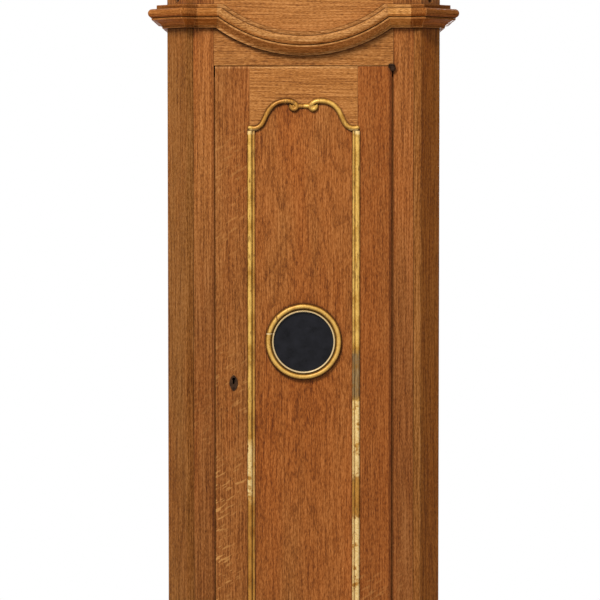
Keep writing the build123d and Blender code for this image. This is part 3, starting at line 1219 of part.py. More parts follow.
def weight_nodes():
    """Cylinder weight hung by a stirrup from its pulley, and the line that carries it."""
    half = PULLEY_WIDTH / 2
    rim = PULLEY_RADIUS + PULLEY_RIM
    groove = 1.6
    outline = make_face(
        [
            Polyline((0, -half), (0, half), (rim, half), (rim, groove)),
            ThreePointArc((rim, groove), (PULLEY_RADIUS - 0.4, 0), (rim, -groove)),
            Polyline((rim, -groove), (rim, -half), (0, -half)),
        ]
    )
    pulley = turned(outline, PULLEY_X, LINE_Y, PULLEY_Z)
    pin_bore = PULLEY_PIN_RADIUS + HINGE_CLEARANCE
    pulley -= rod_y(PULLEY_X, PULLEY_Z, pin_bore, LINE_Y - PULLEY_WIDTH, LINE_Y + PULLEY_WIDTH)
    cheek_in = half + STIRRUP_GAP
    cheek_out = cheek_in + STIRRUP_THICKNESS
    bridge_z = PULLEY_Z - rim - STIRRUP_GAP - 3
    x0, x1 = PULLEY_X - STIRRUP_WIDTH / 2, PULLEY_X + STIRRUP_WIDTH / 2
    weight = rod_y(PULLEY_X, PULLEY_Z, PULLEY_PIN_RADIUS, LINE_Y - cheek_out, LINE_Y + cheek_out)
    for y0, y1 in ((LINE_Y - cheek_out, LINE_Y - cheek_in), (LINE_Y + cheek_in, LINE_Y + cheek_out)):
        weight += box(x0, x1, y0, y1, bridge_z, PULLEY_Z + STIRRUP_WIDTH / 2)
    weight += box(x0, x1, LINE_Y - cheek_out, LINE_Y + cheek_out, bridge_z - STIRRUP_THICKNESS, bridge_z)
    shoulder = bridge_z - STIRRUP_WIDTH - 6
    dome = 10.0
    weight += rod_z(PULLEY_X, LINE_Y, PULLEY_PIN_RADIUS + 1, shoulder - 2, bridge_z)
    shell = make_face(
        [
            Polyline((0, shoulder - WEIGHT_HEIGHT), (WEIGHT_RADIUS, shoulder - WEIGHT_HEIGHT)),
            Line((WEIGHT_RADIUS, shoulder - WEIGHT_HEIGHT), (WEIGHT_RADIUS, shoulder - dome)),
            cap_arc(WEIGHT_RADIUS, shoulder - dome, shoulder),
            Line((0, shoulder), (0, shoulder - WEIGHT_HEIGHT)),
        ]
    )
    weight += Pos(PULLEY_X, LINE_Y, 0) * revolve(Plane.XZ * shell, Axis.Z)
    return {"drive_weight": weight, "weight_pulley": pulley, "gut_line": gut_line()}


def gut_line():
    """Line from the barrel down round the pulley and up to the seat board."""
    path = [
        Line((-LINE_WIND_RADIUS, BARREL_Z), (-LINE_WIND_RADIUS, PULLEY_Z)),
        ThreePointArc(
            (-LINE_WIND_RADIUS, PULLEY_Z), (PULLEY_X, PULLEY_Z - PULLEY_LINE_RADIUS), (LINE_END_X, PULLEY_Z)
        ),
        Line((LINE_END_X, PULLEY_Z), (LINE_END_X, SEAT_BOTTOM)),
    ]
    upright = Plane(origin=(0, LINE_Y, 0), x_dir=(1, 0, 0), z_dir=(0, -1, 0))
    wire = Wire([upright * edge for edge in path])
    section = Plane(origin=wire @ 0, z_dir=(0, 0, -1)) * Circle(LINE_RADIUS)
    return sweep(section, path=wire)


def all_nodes():
    nodes = {}
    for make in (
        case_nodes, door_nodes, hood_nodes, hood_door_nodes, movement_frame_nodes,
        train_nodes, motion_nodes, pendulum_nodes, weight_nodes,
    ):
        nodes.update(make())
    nodes["pallet_anchor"] = pallet_anchor()
    return nodes


def main():
    os.makedirs("parts", exist_ok=True)
    for name, shape in all_nodes().items():
        export_step(shape, os.path.join("parts", name + ".step"))


if __name__ == "__main__":
    main()
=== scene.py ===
import bmesh
import bpy
from math import cos, pi, radians, sin, sqrt, tan
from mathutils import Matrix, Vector


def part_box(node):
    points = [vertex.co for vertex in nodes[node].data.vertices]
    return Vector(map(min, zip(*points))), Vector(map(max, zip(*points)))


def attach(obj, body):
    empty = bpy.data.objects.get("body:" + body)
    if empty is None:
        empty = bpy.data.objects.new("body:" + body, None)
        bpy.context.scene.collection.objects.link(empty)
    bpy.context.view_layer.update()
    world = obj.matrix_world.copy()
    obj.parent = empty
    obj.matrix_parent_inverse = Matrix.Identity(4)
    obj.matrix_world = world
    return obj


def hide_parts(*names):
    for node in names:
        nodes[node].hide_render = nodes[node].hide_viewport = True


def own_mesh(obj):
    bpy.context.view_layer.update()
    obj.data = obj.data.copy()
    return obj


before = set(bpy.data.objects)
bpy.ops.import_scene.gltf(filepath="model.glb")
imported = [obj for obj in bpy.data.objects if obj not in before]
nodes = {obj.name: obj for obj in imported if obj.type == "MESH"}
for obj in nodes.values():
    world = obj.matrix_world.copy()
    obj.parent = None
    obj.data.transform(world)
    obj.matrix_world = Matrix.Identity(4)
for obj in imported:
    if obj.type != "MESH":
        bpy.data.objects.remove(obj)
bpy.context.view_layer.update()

# Places that the looks share, read from the frame, in metres
FACE_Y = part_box("door_panel")[0][1]
DIAL_LOW, DIAL_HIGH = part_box("dial")
DIAL_Y = DIAL_LOW[1]
DIAL_Z = (DIAL_LOW[2] + DIAL_HIGH[2]) / 2
DIAL_RADIUS = (DIAL_HIGH[0] - DIAL_LOW[0]) / 2
RING_LOW, RING_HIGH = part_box("lenticle_ring")
RING_Z = (RING_LOW[2] + RING_HIGH[2]) / 2

# View of the photo: the middle of the picture, its width on the door's face and the camera's distance
VIEW_X = -0.005
VIEW_Z = 1.292
VIEW_WIDTH = 0.84
VIEW_DISTANCE = 4.0
VIEW_PITCH = 3.0

# Timber colours from dark through middle to light, in a redder and a more golden run
OAK = (
    ((0.125, 0.029, 0.006), (0.300, 0.080, 0.0125), (0.48, 0.155, 0.034)),
    ((0.125, 0.040, 0.009), (0.300, 0.112, 0.0240), (0.48, 0.210, 0.063)),
)
DEAL = (
    ((0.150, 0.080, 0.034), (0.310, 0.180, 0.080), (0.45, 0.29, 0.145)),
    ((0.160, 0.092, 0.040), (0.330, 0.205, 0.092), (0.47, 0.32, 0.165)),
)

# Noise cells in a metre, across the grain and along it
WANDER = (7.0, 1.6)
CLOUD = (6.0, 2.2)
BROAD = (40.0, 1.8)
HUE = (22.0, 3.0)
FIGURE = (240.0, 10.0)
LINE = (760.0, 16.0)
DASH = (1050.0, 210.0)
PORE = (1500.0, 130.0)
FLECK = (70.0, 210.0)
FLECK_PATCH = (10.0, 4.0)
CHIP = (520.0, 130.0)
STREAK = (620.0, 50.0)
BARE_STREAK = (900.0, 40.0)

# Share of each layer of grain in how light the timber is, and of the slow change in its hue
LINE_SHARE = 1.5
DASH_SHARE = 1.6
FIGURE_SHARE = 0.25
BROAD_SHARE = 0.35
CLOUD_SHARE = 0.4
EARLY_SHARE = -0.14
HUE_SHARE = 0.9

# Places of the dark, middle and light shade on the ramps of timber and of gold
TIMBER_PLACES = (0.10, 0.50, 0.90)
GILT_PLACES = (0.15, 0.52, 0.92)

# Year rings: their spacing, and how far they wander in a plain board and in one cut near the heart
RING_SPACING = 0.0046
BOARD_WANDER = 0.055
HEART_WANDER = 0.10

# Oak's ray flecks: their colour, their slant and the heights between which they grow faint
RAY = (0.60, 0.29, 0.085)
FLECK_SLANT = -0.6
FLECKS_FADE = (1.06, 1.24)

# Painted shade in corners, with dirt as well on plain materials: its reach out of a corner, and how open a
# place is where it is full and where it ends; then the colour of the painted shadow in the tightest corners
SOFT_SHADE = (0.010, 0.15, 0.90)
TIGHT_SHADE = (0.005, 0.48, 0.80)
GILT_CORNER_SHADE = (0.005, 0.20, 0.85)
PLAIN_DIRT_AND_SHADE = (0.006, 0.20, 0.90)
TIGHT_SHADOW = (0.026, 0.010, 0.004)

# Worn edges, which also carry a painted highlight where their share is raised: their reach, and the cosines
# of the turn between which the wear ends
EDGE_REACH = 0.0012
EDGE_TURN = (0.82, 0.98)

# Distance from the middle past which mouldings turn round the canted corners, and the slope of half a turn
CANT_START = 0.150
HALF_TURN = tan(radians(22.5))

# Old gold leaf from its dull flanks to its rubbed crest, with painted shade and highlight; its painted shade
# on faces that look down, ahead and up, and the colour of the painted shadow in its corners
GILT = ((0.170, 0.072, 0.009), (0.500, 0.260, 0.045), (0.880, 0.585, 0.170))
GILT_PAINTED_SHADE = ((0.40, 0.36, 0.28), (0.90, 0.90, 0.90), (1.0, 1.0, 1.0))
GILT_SHADOW_COLOUR = (0.115, 0.052, 0.011)

# Gilding of the door's strips and of the rings: how squarely the crest, rubbed and painted brighter, faces
# ahead, the cells and limits of the chips, the colour under the leaf and the share of painted shade in
# corners
STRIP_LEAF = dict(
    crest=(0.40, 0.92),
    cells=STREAK,
    chipped=(0.50, 0.66),
    under=(0.25, 0.115, 0.022),
    corner_shade=0.35,
)
RING_LEAF = dict(
    crest=(0.55, 1.0),
    cells=CHIP,
    chipped=(0.62, 0.70),
    under=(0.165, 0.058, 0.014),
    corner_shade=0.6,
)

# Heights between which the door's gilt strips show pale ground or bare wood, how far these ends wander,
# and the colours of both
RIGHT_BARE = (1.156, 1.217)
RIGHT_PALE = (1.044, 1.151)
RIGHT_FOOT_PALE = (0.600, 0.987)
LEFT_PALE = (1.012, 1.092)
JOINT_PALE = (1.5235, 1.5305)
RAGGED = 0.024
PALE_GROUND = ((0.66, 0.42, 0.13), (0.90, 0.68, 0.32))
BARE_WOOD = ((0.11, 0.062, 0.028), (0.34, 0.22, 0.10))

# Tint of the strips' gold, the tint of dull gold, the heights between which it grows bright, the cells in a
# metre of its brighter lengths, and how far from the middle the dull fillet gives way to the bead
STRIP_TINT = (0.93, 0.86, 0.70)
DULL_TINT = (0.60, 0.42, 0.26)
DULL_BELOW = (1.000, 1.240)
BRIGHT_LENGTHS = 26.0
STRIP_BEAD_WIDTH = 0.0068
FILLET_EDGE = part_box("door_gilt_moulding")[1][0] - STRIP_BEAD_WIDTH
FILLET_SOFTNESS = 0.0004

# Lenticle ring: radii that divide it into bead, hollow and torus, its colours with the painted shade of its
# hollow, and the open joint at its left
BEAD_RADIUS = 0.0437
HOLLOW_RADIUS = 0.0463
RING_TINT = (0.84, 0.75, 0.62)
RING_HOLLOW_SHADE = (0.165, 0.095, 0.020)
RING_BEAD = (0.62, 0.46, 0.24)
JOINT_Z = RING_Z + 0.0113
JOINT_COLOUR = (0.74, 0.56, 0.30)
JOINT_SHADE = (0.12, 0.055, 0.012)
JOINT_SOFTNESS = 0.0004

# Eased edges: reach of the weld, width on fine mouldings and elsewhere, and the turn that counts as an edge
WELD_REACH = 0.00002
FINE_EASE = 0.0003
EASE = 0.0009
EASE_TURN = radians(32)

# Gap beside the trunk door, and the dark brown strip that half fills it as a painted shadow, which swells in
# slow waves
DOOR_SIDE_GAP = 0.0016
SHADOW_STRIP_WIDTH = 0.00095
SHADOW_STRIP_RECESS = 0.0004
SHADOW_STRIP_DEPTH = 0.0040
SHADOW_STRIP_END = 0.015
SHADOW_STRIP_STEPS = 100
SHADOW_STRIP_SWELL = 0.08
SHADOW_STRIP_WAVES = (410, 173)

# Minute track on the dial: its radii, its line, and half the width of an hour mark and a minute mark
TRACK_INNER = DIAL_RADIUS * 0.87
TRACK_OUTER = DIAL_RADIUS * 0.93
TRACK_LINE = 0.0007
TRACK_STEPS = 180
HOUR_MARK = 0.0012
MINUTE_MARK = 0.0004

# Hour numbers on the dial
NUMERALS = ("XII", "I", "II", "III", "IIII", "V", "VI", "VII", "VIII", "IX", "X", "XI")
NUMERAL_HEIGHT = 0.023
NUMERAL_FOOT = 0.062
THICK_STROKE = 0.0038
THIN_STROKE = 0.0013
SERIF_OVERHANG = 0.0011
LETTER_GAP = 0.0024
SLANTED_WIDTH = 0.0125
INK_DEPTH = 0.0002

# Gut line: sides of its round section, and steps of its half turn under the pulley
GUT_SIDES = 12
GUT_TURN_STEPS = 24

# Lamps: place, target, side of the square, power and colour
LAMPS = {
    "key": ((-1.0, -2.8, 3.9), (0, 0, 1.3), 1.0, 165.0, (1.0, 0.985, 0.96)),
    "back": ((1.2, 3.6, 2.2), (0, 0, 1.2), 1.8, 70.0, (0.97, 0.98, 1.0)),
}

# White surroundings: how strongly they show and how strongly they light the part; then the floor
WORLD_SHOWN = 1.0
WORLD_LIGHT = 0.25
FLOOR_PLACE = (0, -0.8, 0)
FLOOR_SCALE = (6, 4.4, 1)
FLOOR_COLOUR = (0.86, 0.86, 0.86)

# Sockets of the mix node that carry its factor and colours, and the one that gives the mixed colour
MIX_INPUTS = (0, 6, 7)
MIX_RESULT = 2


class Graph:
    """Adds shader nodes to one material and links them."""

    def __init__(self, name):
        self.material = bpy.data.materials.new(name)
        self.material.use_nodes = True
        self.tree = self.material.node_tree
        self.tree.nodes.clear()
        output = self.add("ShaderNodeOutputMaterial")
        self.shader = self.add("ShaderNodeBsdfPrincipled")
        self.tree.links.new(self.shader.outputs["BSDF"], output.inputs["Surface"])
        coordinates = self.add("ShaderNodeTexCoord")
        self.place = coordinates.outputs["Object"]
        self.x, self.y, self.z = self.parts(self.place)
        self.normal = coordinates.outputs["Normal"]

    def add(self, kind, **settings):
        node = self.tree.nodes.new(kind)
        for key, value in settings.items():
            setattr(node, key, value)
        return node

    def feed(self, socket, value):
        if isinstance(value, bpy.types.NodeSocket):
            self.tree.links.new(value, socket)
        else:
            socket.default_value = value

    def set(self, name, value):
        self.feed(self.shader.inputs[name], value)

    def math(self, operation, *values):
        node = self.add("ShaderNodeMath", operation=operation)
        for socket, value in zip(node.inputs, values):
            self.feed(socket, value)
        return node.outputs[0]

    def total(self, *shares):
        """A half, plus each value's swing about a half times its share."""
        result = 0.5 - 0.5 * sum(share for value, share in shares)
        for value, share in shares:
            result = self.math("MULTIPLY_ADD", value, share, result)
        return result

    def pick(self, switch, off, on):
        """One value where the switch is 0 and the other where it is 1."""
        off_part = self.math("MULTIPLY", self.math("SUBTRACT", 1.0, switch), off)
        return self.math("ADD", self.math("MULTIPLY", switch, on), off_part)

    def vector(self, x, y, z):
        node = self.add("ShaderNodeCombineXYZ")
        for socket, value in zip(node.inputs, (x, y, z)):
            self.feed(socket, value)
        return node.outputs[0]

    def parts(self, vector):
        node = self.add("ShaderNodeSeparateXYZ")
        self.feed(node.inputs[0], vector)
        return node.outputs

    def noise(self, vector, scale=1.0, detail=2.0, roughness=0.5):
        node = self.add("ShaderNodeTexNoise")
        self.feed(node.inputs["Vector"], vector)
        self.feed(node.inputs["Scale"], scale)
        self.feed(node.inputs["Detail"], detail)
        self.feed(node.inputs["Roughness"], roughness)
        return node.outputs[0]

    def grain_noise(self, point, cells, seed, detail=2.0, roughness=0.6):
        """Noise drawn out along the grain; the seed moves it to another place."""
        across, along = cells
        u, v, w = point
        stretched = self.vector(
            self.math("MULTIPLY_ADD", u, across, seed),
            self.math("MULTIPLY_ADD", v, across, seed * 0.7),
            self.math("MULTIPLY_ADD", w, along, seed * 1.3),
        )
        return self.noise(stretched, detail=detail, roughness=roughness)

    def fade(self, value, low, high, to_low=0.0, to_high=1.0):
        node = self.add("ShaderNodeMapRange", interpolation_type="SMOOTHSTEP")
        for socket, item in zip(node.inputs, (value, low, high, to_low, to_high)):
            self.feed(socket, item)
        return node.outputs[0]

    def band(self, value, low, high, edge):
        """1 between two values, with soft ends."""
        rise = self.fade(value, low - edge, low + edge)
        fall = self.fade(value, high - edge, high + edge, 1.0, 0.0)
        return self.math("MULTIPLY", rise, fall)

    def ramp(self, value, places, colours):
        node = self.add("ShaderNodeValToRGB")
        self.feed(node.inputs[0], value)
        steps = node.color_ramp.elements
        while len(steps) < len(places):
            steps.new(0.5)
        for step, place, colour in zip(steps, places, colours):
            step.position = place
            step.color = (*colour, 1.0)
        return node.outputs[0]

    def mix(self, factor, a, b, blend="MIX"):
        node = self.add("ShaderNodeMix", data_type="RGBA", blend_type=blend)
        for index, value in zip(MIX_INPUTS, (factor, a, b)):
            if isinstance(value, tuple):
                value = (*value, 1.0)
            self.feed(node.inputs[index], value)
        return node.outputs[MIX_RESULT]

    def corner_occlusion(self, reach, low, high):
        """Towards 1 in tight corners and 0 in the open; it masks painted shade in corners, and dirt as well
        on plain materials.
        """
        node = self.add("ShaderNodeAmbientOcclusion", samples=8)
        node.inputs["Distance"].default_value = reach
        return self.fade(node.outputs["AO"], low, high, 1.0, 0.0)

    def edge_wear(self, reach):
        """Towards 1 along sharp edges, where a rounded normal leaves the face."""
        rounded = self.add("ShaderNodeBevel", samples=4)
        rounded.inputs["Radius"].default_value = reach
        turn = self.add("ShaderNodeVectorMath", operation="DOT_PRODUCT")
        self.feed(turn.inputs[0], rounded.outputs[0])
        self.feed(turn.inputs[1], self.add("ShaderNodeNewGeometry").outputs["Normal"])
        return self.fade(turn.outputs["Value"], *EDGE_TURN, 1.0, 0.0)

    def bump(self, height, strength, distance):
        node = self.add("ShaderNodeBump")
        self.feed(node.inputs["Height"], height)
        node.inputs["Strength"].default_value = strength
        node.inputs["Distance"].default_value = distance
        self.set("Normal", node.outputs[0])


def moulding_point(g):
    """Position on a moulding that runs across the front, along the canted corners and down the sides."""
    normal = g.parts(g.normal)
    outward = g.math("ABSOLUTE", normal[0])
    ahead = g.math("ABSOLUTE", normal[1])
    aside = g.math("ABSOLUTE", g.x)
    outer = g.math("GREATER_THAN", aside, CANT_START)
    turned = g.math("MULTIPLY", outer, g.math("GREATER_THAN", outward, g.math("MULTIPLY", ahead, HALF_TURN)))
    side = g.math("MULTIPLY", outer, g.math("GREATER_THAN", outward, g.math("DIVIDE", ahead, HALF_TURN)))
    along_cant = g.math("MULTIPLY", g.math("ADD", aside, g.y), sqrt(0.5))
    into_cant = g.math("MULTIPLY", g.math("SUBTRACT", aside, g.y), sqrt(0.5))
    depth = g.pick(turned, g.y, into_cant)
    along = g.pick(turned, g.x, along_cant)
    return g.z, g.pick(side, depth, g.x), g.pick(side, along, g.y)


def grain_point(g, grain, limit):
    """Position across the grain, in depth and along it; limit is where a frame's uprights begin."""
    if grain == "Z":
        return g.x, g.y, g.z
    if grain == "X":
        return g.z, g.y, g.x
    if grain == "frame":
        upright = g.math("GREATER_THAN", g.math("ABSOLUTE", g.x), limit)
        return g.pick(upright, g.z, g.x), g.y, g.pick(upright, g.x, g.z)
    return moulding_point(g)


def ring_distance(g, point, wander, pith):
    """Distance from the heart of the tree; pith is its place, its depth behind the face and its tilt."""
    across = point[0]
    along = point[2]
    if not pith:
        return g.math("MULTIPLY_ADD", wander, BOARD_WANDER, across)
    centre, depth, tilt = pith
    aside = g.math("SUBTRACT", across, centre)
    behind = g.math("MULTIPLY_ADD", wander, HEART_WANDER, g.math("MULTIPLY_ADD", along, tilt, depth))
    squares = g.math("ADD", g.math("MULTIPLY", aside, aside), g.math("MULTIPLY", behind, behind))
    return g.math("SQRT", squares)


def ray_flecks(g, point, seed):
    """Short slanted silver flecks of quartered oak, in patches that grow faint higher up."""
    u, v, w = point
    slant = g.math("MULTIPLY_ADD", u, FLECK_SLANT, w)
    fleck = g.grain_noise((u, v, slant), FLECK, seed)
    patch = g.grain_noise(point, FLECK_PATCH, seed + 2.0, detail=1.0)
    strength = g.math("MULTIPLY", g.fade(patch, 0.40, 0.56), g.fade(g.z, *FLECKS_FADE, 1.0, 0.25))
    return g.math("MULTIPLY", g.fade(fleck, 0.56, 0.66), strength)


def clean_timber(g, point, seed, gold, pith, red, golden):
    """Colour of clean timber, and its grain lines, dashes and pores."""
    v, w = point[1:]
    wander = g.math("SUBTRACT", g.grain_noise(point, WANDER, seed, 3.0), 0.5)
    rings = ring_distance(g, point, wander, pith)
    early = g.fade(g.math("FRACT", g.math("DIVIDE", rings, RING_SPACING)), 0.0, 0.5, 1.0, 0.0)
    figure = g.grain_noise((rings, v, w), FIGURE, seed, 3.0)
    line = g.grain_noise(point, LINE, seed + 1.0, 3.0)
    dash = g.grain_noise(point, DASH, seed + 3.0)
    broad = g.grain_noise(point, BROAD, seed + 5.0, 3.0)
    cloud = g.grain_noise(point, CLOUD, seed + 9.0)
    level = g.total(
        (line, LINE_SHARE),
        (dash, DASH_SHARE),
        (figure, FIGURE_SHARE),
        (broad, BROAD_SHARE),
        (cloud, CLOUD_SHARE),
        (early, EARLY_SHARE),
    )
    hue = g.total((g.grain_noise(point, HUE, seed + 7.0), HUE_SHARE))
    hue = g.fade(g.math("ADD", hue, gold - 0.5), 0.1, 0.9)
    colour = g.mix(hue, g.ramp(level, TIMBER_PLACES, red), g.ramp(level, TIMBER_PLACES, golden))
    pore = g.fade(g.grain_noise(point, PORE, seed + 4.0), 0.55, 0.67)
    pore = g.math("MULTIPLY", pore, g.math("MULTIPLY_ADD", early, 0.6, 0.4))
    colour = g.mix(g.math("MULTIPLY", pore, 0.6), colour, tuple(c * 0.6 for c in red[0]))
    return colour, line, dash, pore


def wood(name, grain="Z", seed=0.0, tone=0.85, gold=0.4, pith=None, flecks=0.0, limit=0.0, bands=(),
         under=None, dirt_and_shade=1.0, edge_wear_and_highlight=0.45, gloss=0.10, timber=OAK):
    """Aged waxed timber: rings, grain lines, pores, rays, worn edges that can carry a painted highlight, and
    painted shade in the corners and on faces that look down.
    """
    g = Graph(name)
    red, golden = (tuple(tuple(c * tone for c in shade) for shade in run) for run in timber)
    point = grain_point(g, grain, limit)
    colour, line, dash, pore = clean_timber(g, point, seed, gold, pith, red, golden)
    if flecks:
        colour = g.mix(g.math("MULTIPLY", ray_flecks(g, point, seed), flecks), colour, RAY)
    for axis, start, end, edge, shade in bands:
        here = g.band(getattr(g, axis), start, end, edge)
        colour = g.mix(here, colour, shade, "MULTIPLY")
    # Painted shade: faces that look down are tinted redder and darker by the colour under
    if under:
        downward = g.fade(g.parts(g.normal)[2], -0.6, -0.1, 1.0, 0.0)
        colour = g.mix(downward, colour, under, "MULTIPLY")
    # Lighter sharp edges: rubbed wear, and where the share is raised a painted highlight
    colour = g.mix(g.math("MULTIPLY", g.edge_wear(EDGE_REACH), edge_wear_and_highlight), colour, golden[2])
    # Painted shade in the corners: a soft wide darkening, then a near-black painted shadow in the tightest
    # ones
    soft_shade = g.math("MULTIPLY", g.corner_occlusion(*SOFT_SHADE), 0.6 * dirt_and_shade)
    tight_shade = g.math("MULTIPLY", g.corner_occlusion(*TIGHT_SHADE), 0.95 * dirt_and_shade)
    colour = g.mix(soft_shade, colour, tuple(c * 0.35 for c in red[0]))
    colour = g.mix(tight_shade, colour, TIGHT_SHADOW)
    g.set("Base Color", colour)
    g.set("Roughness", g.fade(line, 0.3, 0.7, 0.36, 0.52))
    g.set("Specular IOR Level", gloss)
    g.bump(g.math("MULTIPLY_ADD", dash, 0.3, g.math("MULTIPLY", pore, -1.0)), 0.22, 0.0004)
    return g.material


def strip_wear(g, blotch, right):
    """Where the door's gilt strips show pale ground, and where bare wood."""
    ragged = g.math("ADD", g.z, g.math("MULTIPLY_ADD", blotch, RAGGED, -RAGGED / 2))
    right_pale = g.math("ADD", g.band(ragged, *RIGHT_PALE, 0.004), g.band(ragged, *RIGHT_FOOT_PALE, 0.004))
    pale = g.pick(right, g.band(ragged, *LEFT_PALE, 0.010), right_pale)
    pale = g.math("MAXIMUM", pale, g.band(g.z, *JOINT_PALE, 0.0015))
    bare = g.math("MULTIPLY", right, g.band(ragged, *RIGHT_BARE, 0.004))
    return g.math("MULTIPLY", pale, g.fade(blotch, 0.34, 0.48)), bare


def worn_strips(g, colour, spots, fine, blotch, right):
    """Colour, chips and lost leaf of the door's strips, dull low down, pale in lengths and bare in one."""
    colour = g.mix(1.0, colour, STRIP_TINT, "MULTIPLY")
    dull = g.fade(g.z, *DULL_BELOW, 0.9, 0.0)
    aside = g.math("ABSOLUTE", g.x)
    fillet = g.fade(aside, FILLET_EDGE - FILLET_SOFTNESS, FILLET_EDGE + FILLET_SOFTNESS, 0.75, 0.0)
    fillet = g.math("MULTIPLY", fillet, g.math("MULTIPLY_ADD", right, -0.7, 1.0))
    colour = g.mix(g.math("MAXIMUM", dull, fillet), colour, DULL_TINT, "MULTIPLY")
    pale, bare = strip_wear(g, blotch, right)
    pale = g.math("MULTIPLY", pale, g.math("MULTIPLY_ADD", fillet, -0.9, 1.0))
    spots = g.math("MULTIPLY", spots, g.math("MULTIPLY_ADD", pale, -0.85, 1.0))
    colour = g.mix(g.math("MULTIPLY", pale, 0.9), colour, g.ramp(fine, (0.3, 0.7), PALE_GROUND))
    across, along = BARE_STREAK
    streaks = g.noise(g.vector(g.math("MULTIPLY", g.x, across), 0.0, g.math("MULTIPLY", g.z, along)))
    colour = g.mix(g.math("MULTIPLY", bare, 0.92), colour, g.ramp(streaks, (0.35, 0.65), BARE_WOOD))
    return colour, spots, g.math("MAXIMUM", pale, bare)


def ring_shades(g, colour):
    """Pale bead, hollow darkened olive with painted shade, and the open joint at the left of the lenticle
    ring.
    """
    up = g.math("SUBTRACT", g.z, RING_Z)
    radius = g.math("SQRT", g.math("ADD", g.math("MULTIPLY", g.x, g.x), g.math("MULTIPLY", up, up)))
    bead = g.fade(radius, BEAD_RADIUS - 0.0003, BEAD_RADIUS + 0.0003, 1.0, 0.0)
    hollow = g.band(radius, BEAD_RADIUS, HOLLOW_RADIUS, 0.0005)
    colour = g.mix(1.0, colour, RING_TINT, "MULTIPLY")
    # Painted shade in the hollow
    colour = g.mix(g.math("MULTIPLY", hollow, 0.45), colour, RING_HOLLOW_SHADE)
    colour = g.mix(bead, colour, RING_BEAD)
    left = g.math("LESS_THAN", g.x, 0.0)
    joint = g.math("MULTIPLY", left, g.band(g.z, JOINT_Z - 0.0006, JOINT_Z + 0.0006, JOINT_SOFTNESS))
    shade = g.math("MULTIPLY", left, g.band(g.z, JOINT_Z + 0.0008, JOINT_Z + 0.0020, JOINT_SOFTNESS))
    colour = g.mix(g.math("MULTIPLY", shade, 0.6), colour, JOINT_SHADE)
    return g.mix(joint, colour, JOINT_COLOUR)


def gilding(name, strips=False, ring=False):
    """Old gold leaf, bright on its rubbed crest with a painted highlight and dull with painted shade on its
    flanks and undersides, over pale ground and brown wood.
    """
    leaf = STRIP_LEAF if strips else RING_LEAF
    g = Graph(name)
    fine = g.noise(g.place, 420.0, 4.0, 0.6)
    blotch = g.noise(g.place, 90.0, 3.0, 0.6)
    normal = g.parts(g.normal)
    # Crest that faces ahead is brighter, rubbed leaf with a painted highlight; the flanks are darker with
    # painted shade
    crest = g.fade(g.math("MULTIPLY", normal[1], -1.0), *leaf["crest"])
    shares = [(blotch, 0.9), (fine, 0.6)]
    if strips:
        right = g.math("GREATER_THAN", g.x, 0.0)
        crest = g.math("MAXIMUM", crest, g.math("MULTIPLY", right, 0.7))
        shares.append((g.noise(g.vector(g.x, 0.0, g.z), BRIGHT_LENGTHS), 1.6))
    rubbed_and_highlit = g.total((crest, 0.75), *shares)
    colour = g.ramp(rubbed_and_highlit, GILT_PLACES, GILT)
    # Painted shade: darker on faces that look down, lighter on faces that look up
    shade = g.ramp(g.fade(normal[2], -0.8, 0.8), (0.0, 0.5, 1.0), GILT_PAINTED_SHADE)
    colour = g.mix(1.0, colour, shade, "MULTIPLY")
    chips = g.grain_noise((g.x, g.y, g.z), leaf["cells"], 2.0, 3.0)
    spots = g.fade(g.total((chips, 0.8), (blotch, 0.6)), *leaf["chipped"])
    metal = g.math("SUBTRACT", 1.0, spots)
    if strips:
        colour, spots, lost = worn_strips(g, colour, spots, fine, blotch, right)
        metal = g.math("MULTIPLY", metal, g.math("SUBTRACT", 1.0, lost))
    colour = g.mix(spots, colour, leaf["under"])
    if ring:
        colour = ring_shades(g, colour)
    # Painted shade in the corners and grooves
    corner_shade = g.math("MULTIPLY", g.corner_occlusion(*GILT_CORNER_SHADE), leaf["corner_shade"])
    g.set("Base Color", g.mix(corner_shade, colour, GILT_SHADOW_COLOUR))
    g.set("Metallic", g.math("MULTIPLY", metal, 0.15))
    g.set("Specular IOR Level", 0.15)
    g.set("Roughness", g.fade(fine, 0.3, 0.7, 0.28, 0.46))
    g.bump(g.math("MULTIPLY_ADD", fine, 0.5, blotch), 0.25, 0.0008)
    return g.material


def plain(name, colour, roughness, metallic=0.0, spread=0.25, scale=120.0, bump=0.0, dirt_and_shade=0.0, gloss=0.5):
    """Even material with mottling and, where asked, dirt and painted shade in the corners."""
    g = Graph(name)
    mottle = g.noise(g.place, scale, 4.0, 0.6)
    low = tuple(c * (1 - spread) for c in colour)
    high = tuple(min(1.0, c * (1 + spread)) for c in colour)
    shade = g.ramp(mottle, (0.25, 0.75), (low, high))
    if dirt_and_shade:
        # Dirt and painted shade in the corners
        soiled_and_shaded = g.math("MULTIPLY", g.corner_occlusion(*PLAIN_DIRT_AND_SHADE), dirt_and_shade)
        shade = g.mix(soiled_and_shaded, shade, tuple(c * 0.25 for c in colour))
    g.set("Base Color", shade)
    g.set("Metallic", metallic)
    g.set("Roughness", g.fade(mottle, 0.2, 0.8, roughness * 0.85, roughness * 1.15))
    g.set("Specular IOR Level", gloss)
    if bump:
        g.bump(mottle, bump, 0.0006)
    return g.material


def clear_glass():
    """Old window glass: clear, faintly green, with slow waves."""
    g = Graph("clear_glass")
    g.set("Base Color", (0.93, 0.97, 0.95, 1.0))
    g.set("Roughness", 0.03)
    g.set("Transmission Weight", 1.0)
    g.set("IOR", 1.45)
    g.bump(g.noise(g.place, 14.0, 1.0), 0.04, 0.002)
    return g.material


def paint(material, *names):
    for name in names:
        nodes[name].data.materials.clear()
        nodes[name].data.materials.append(material)


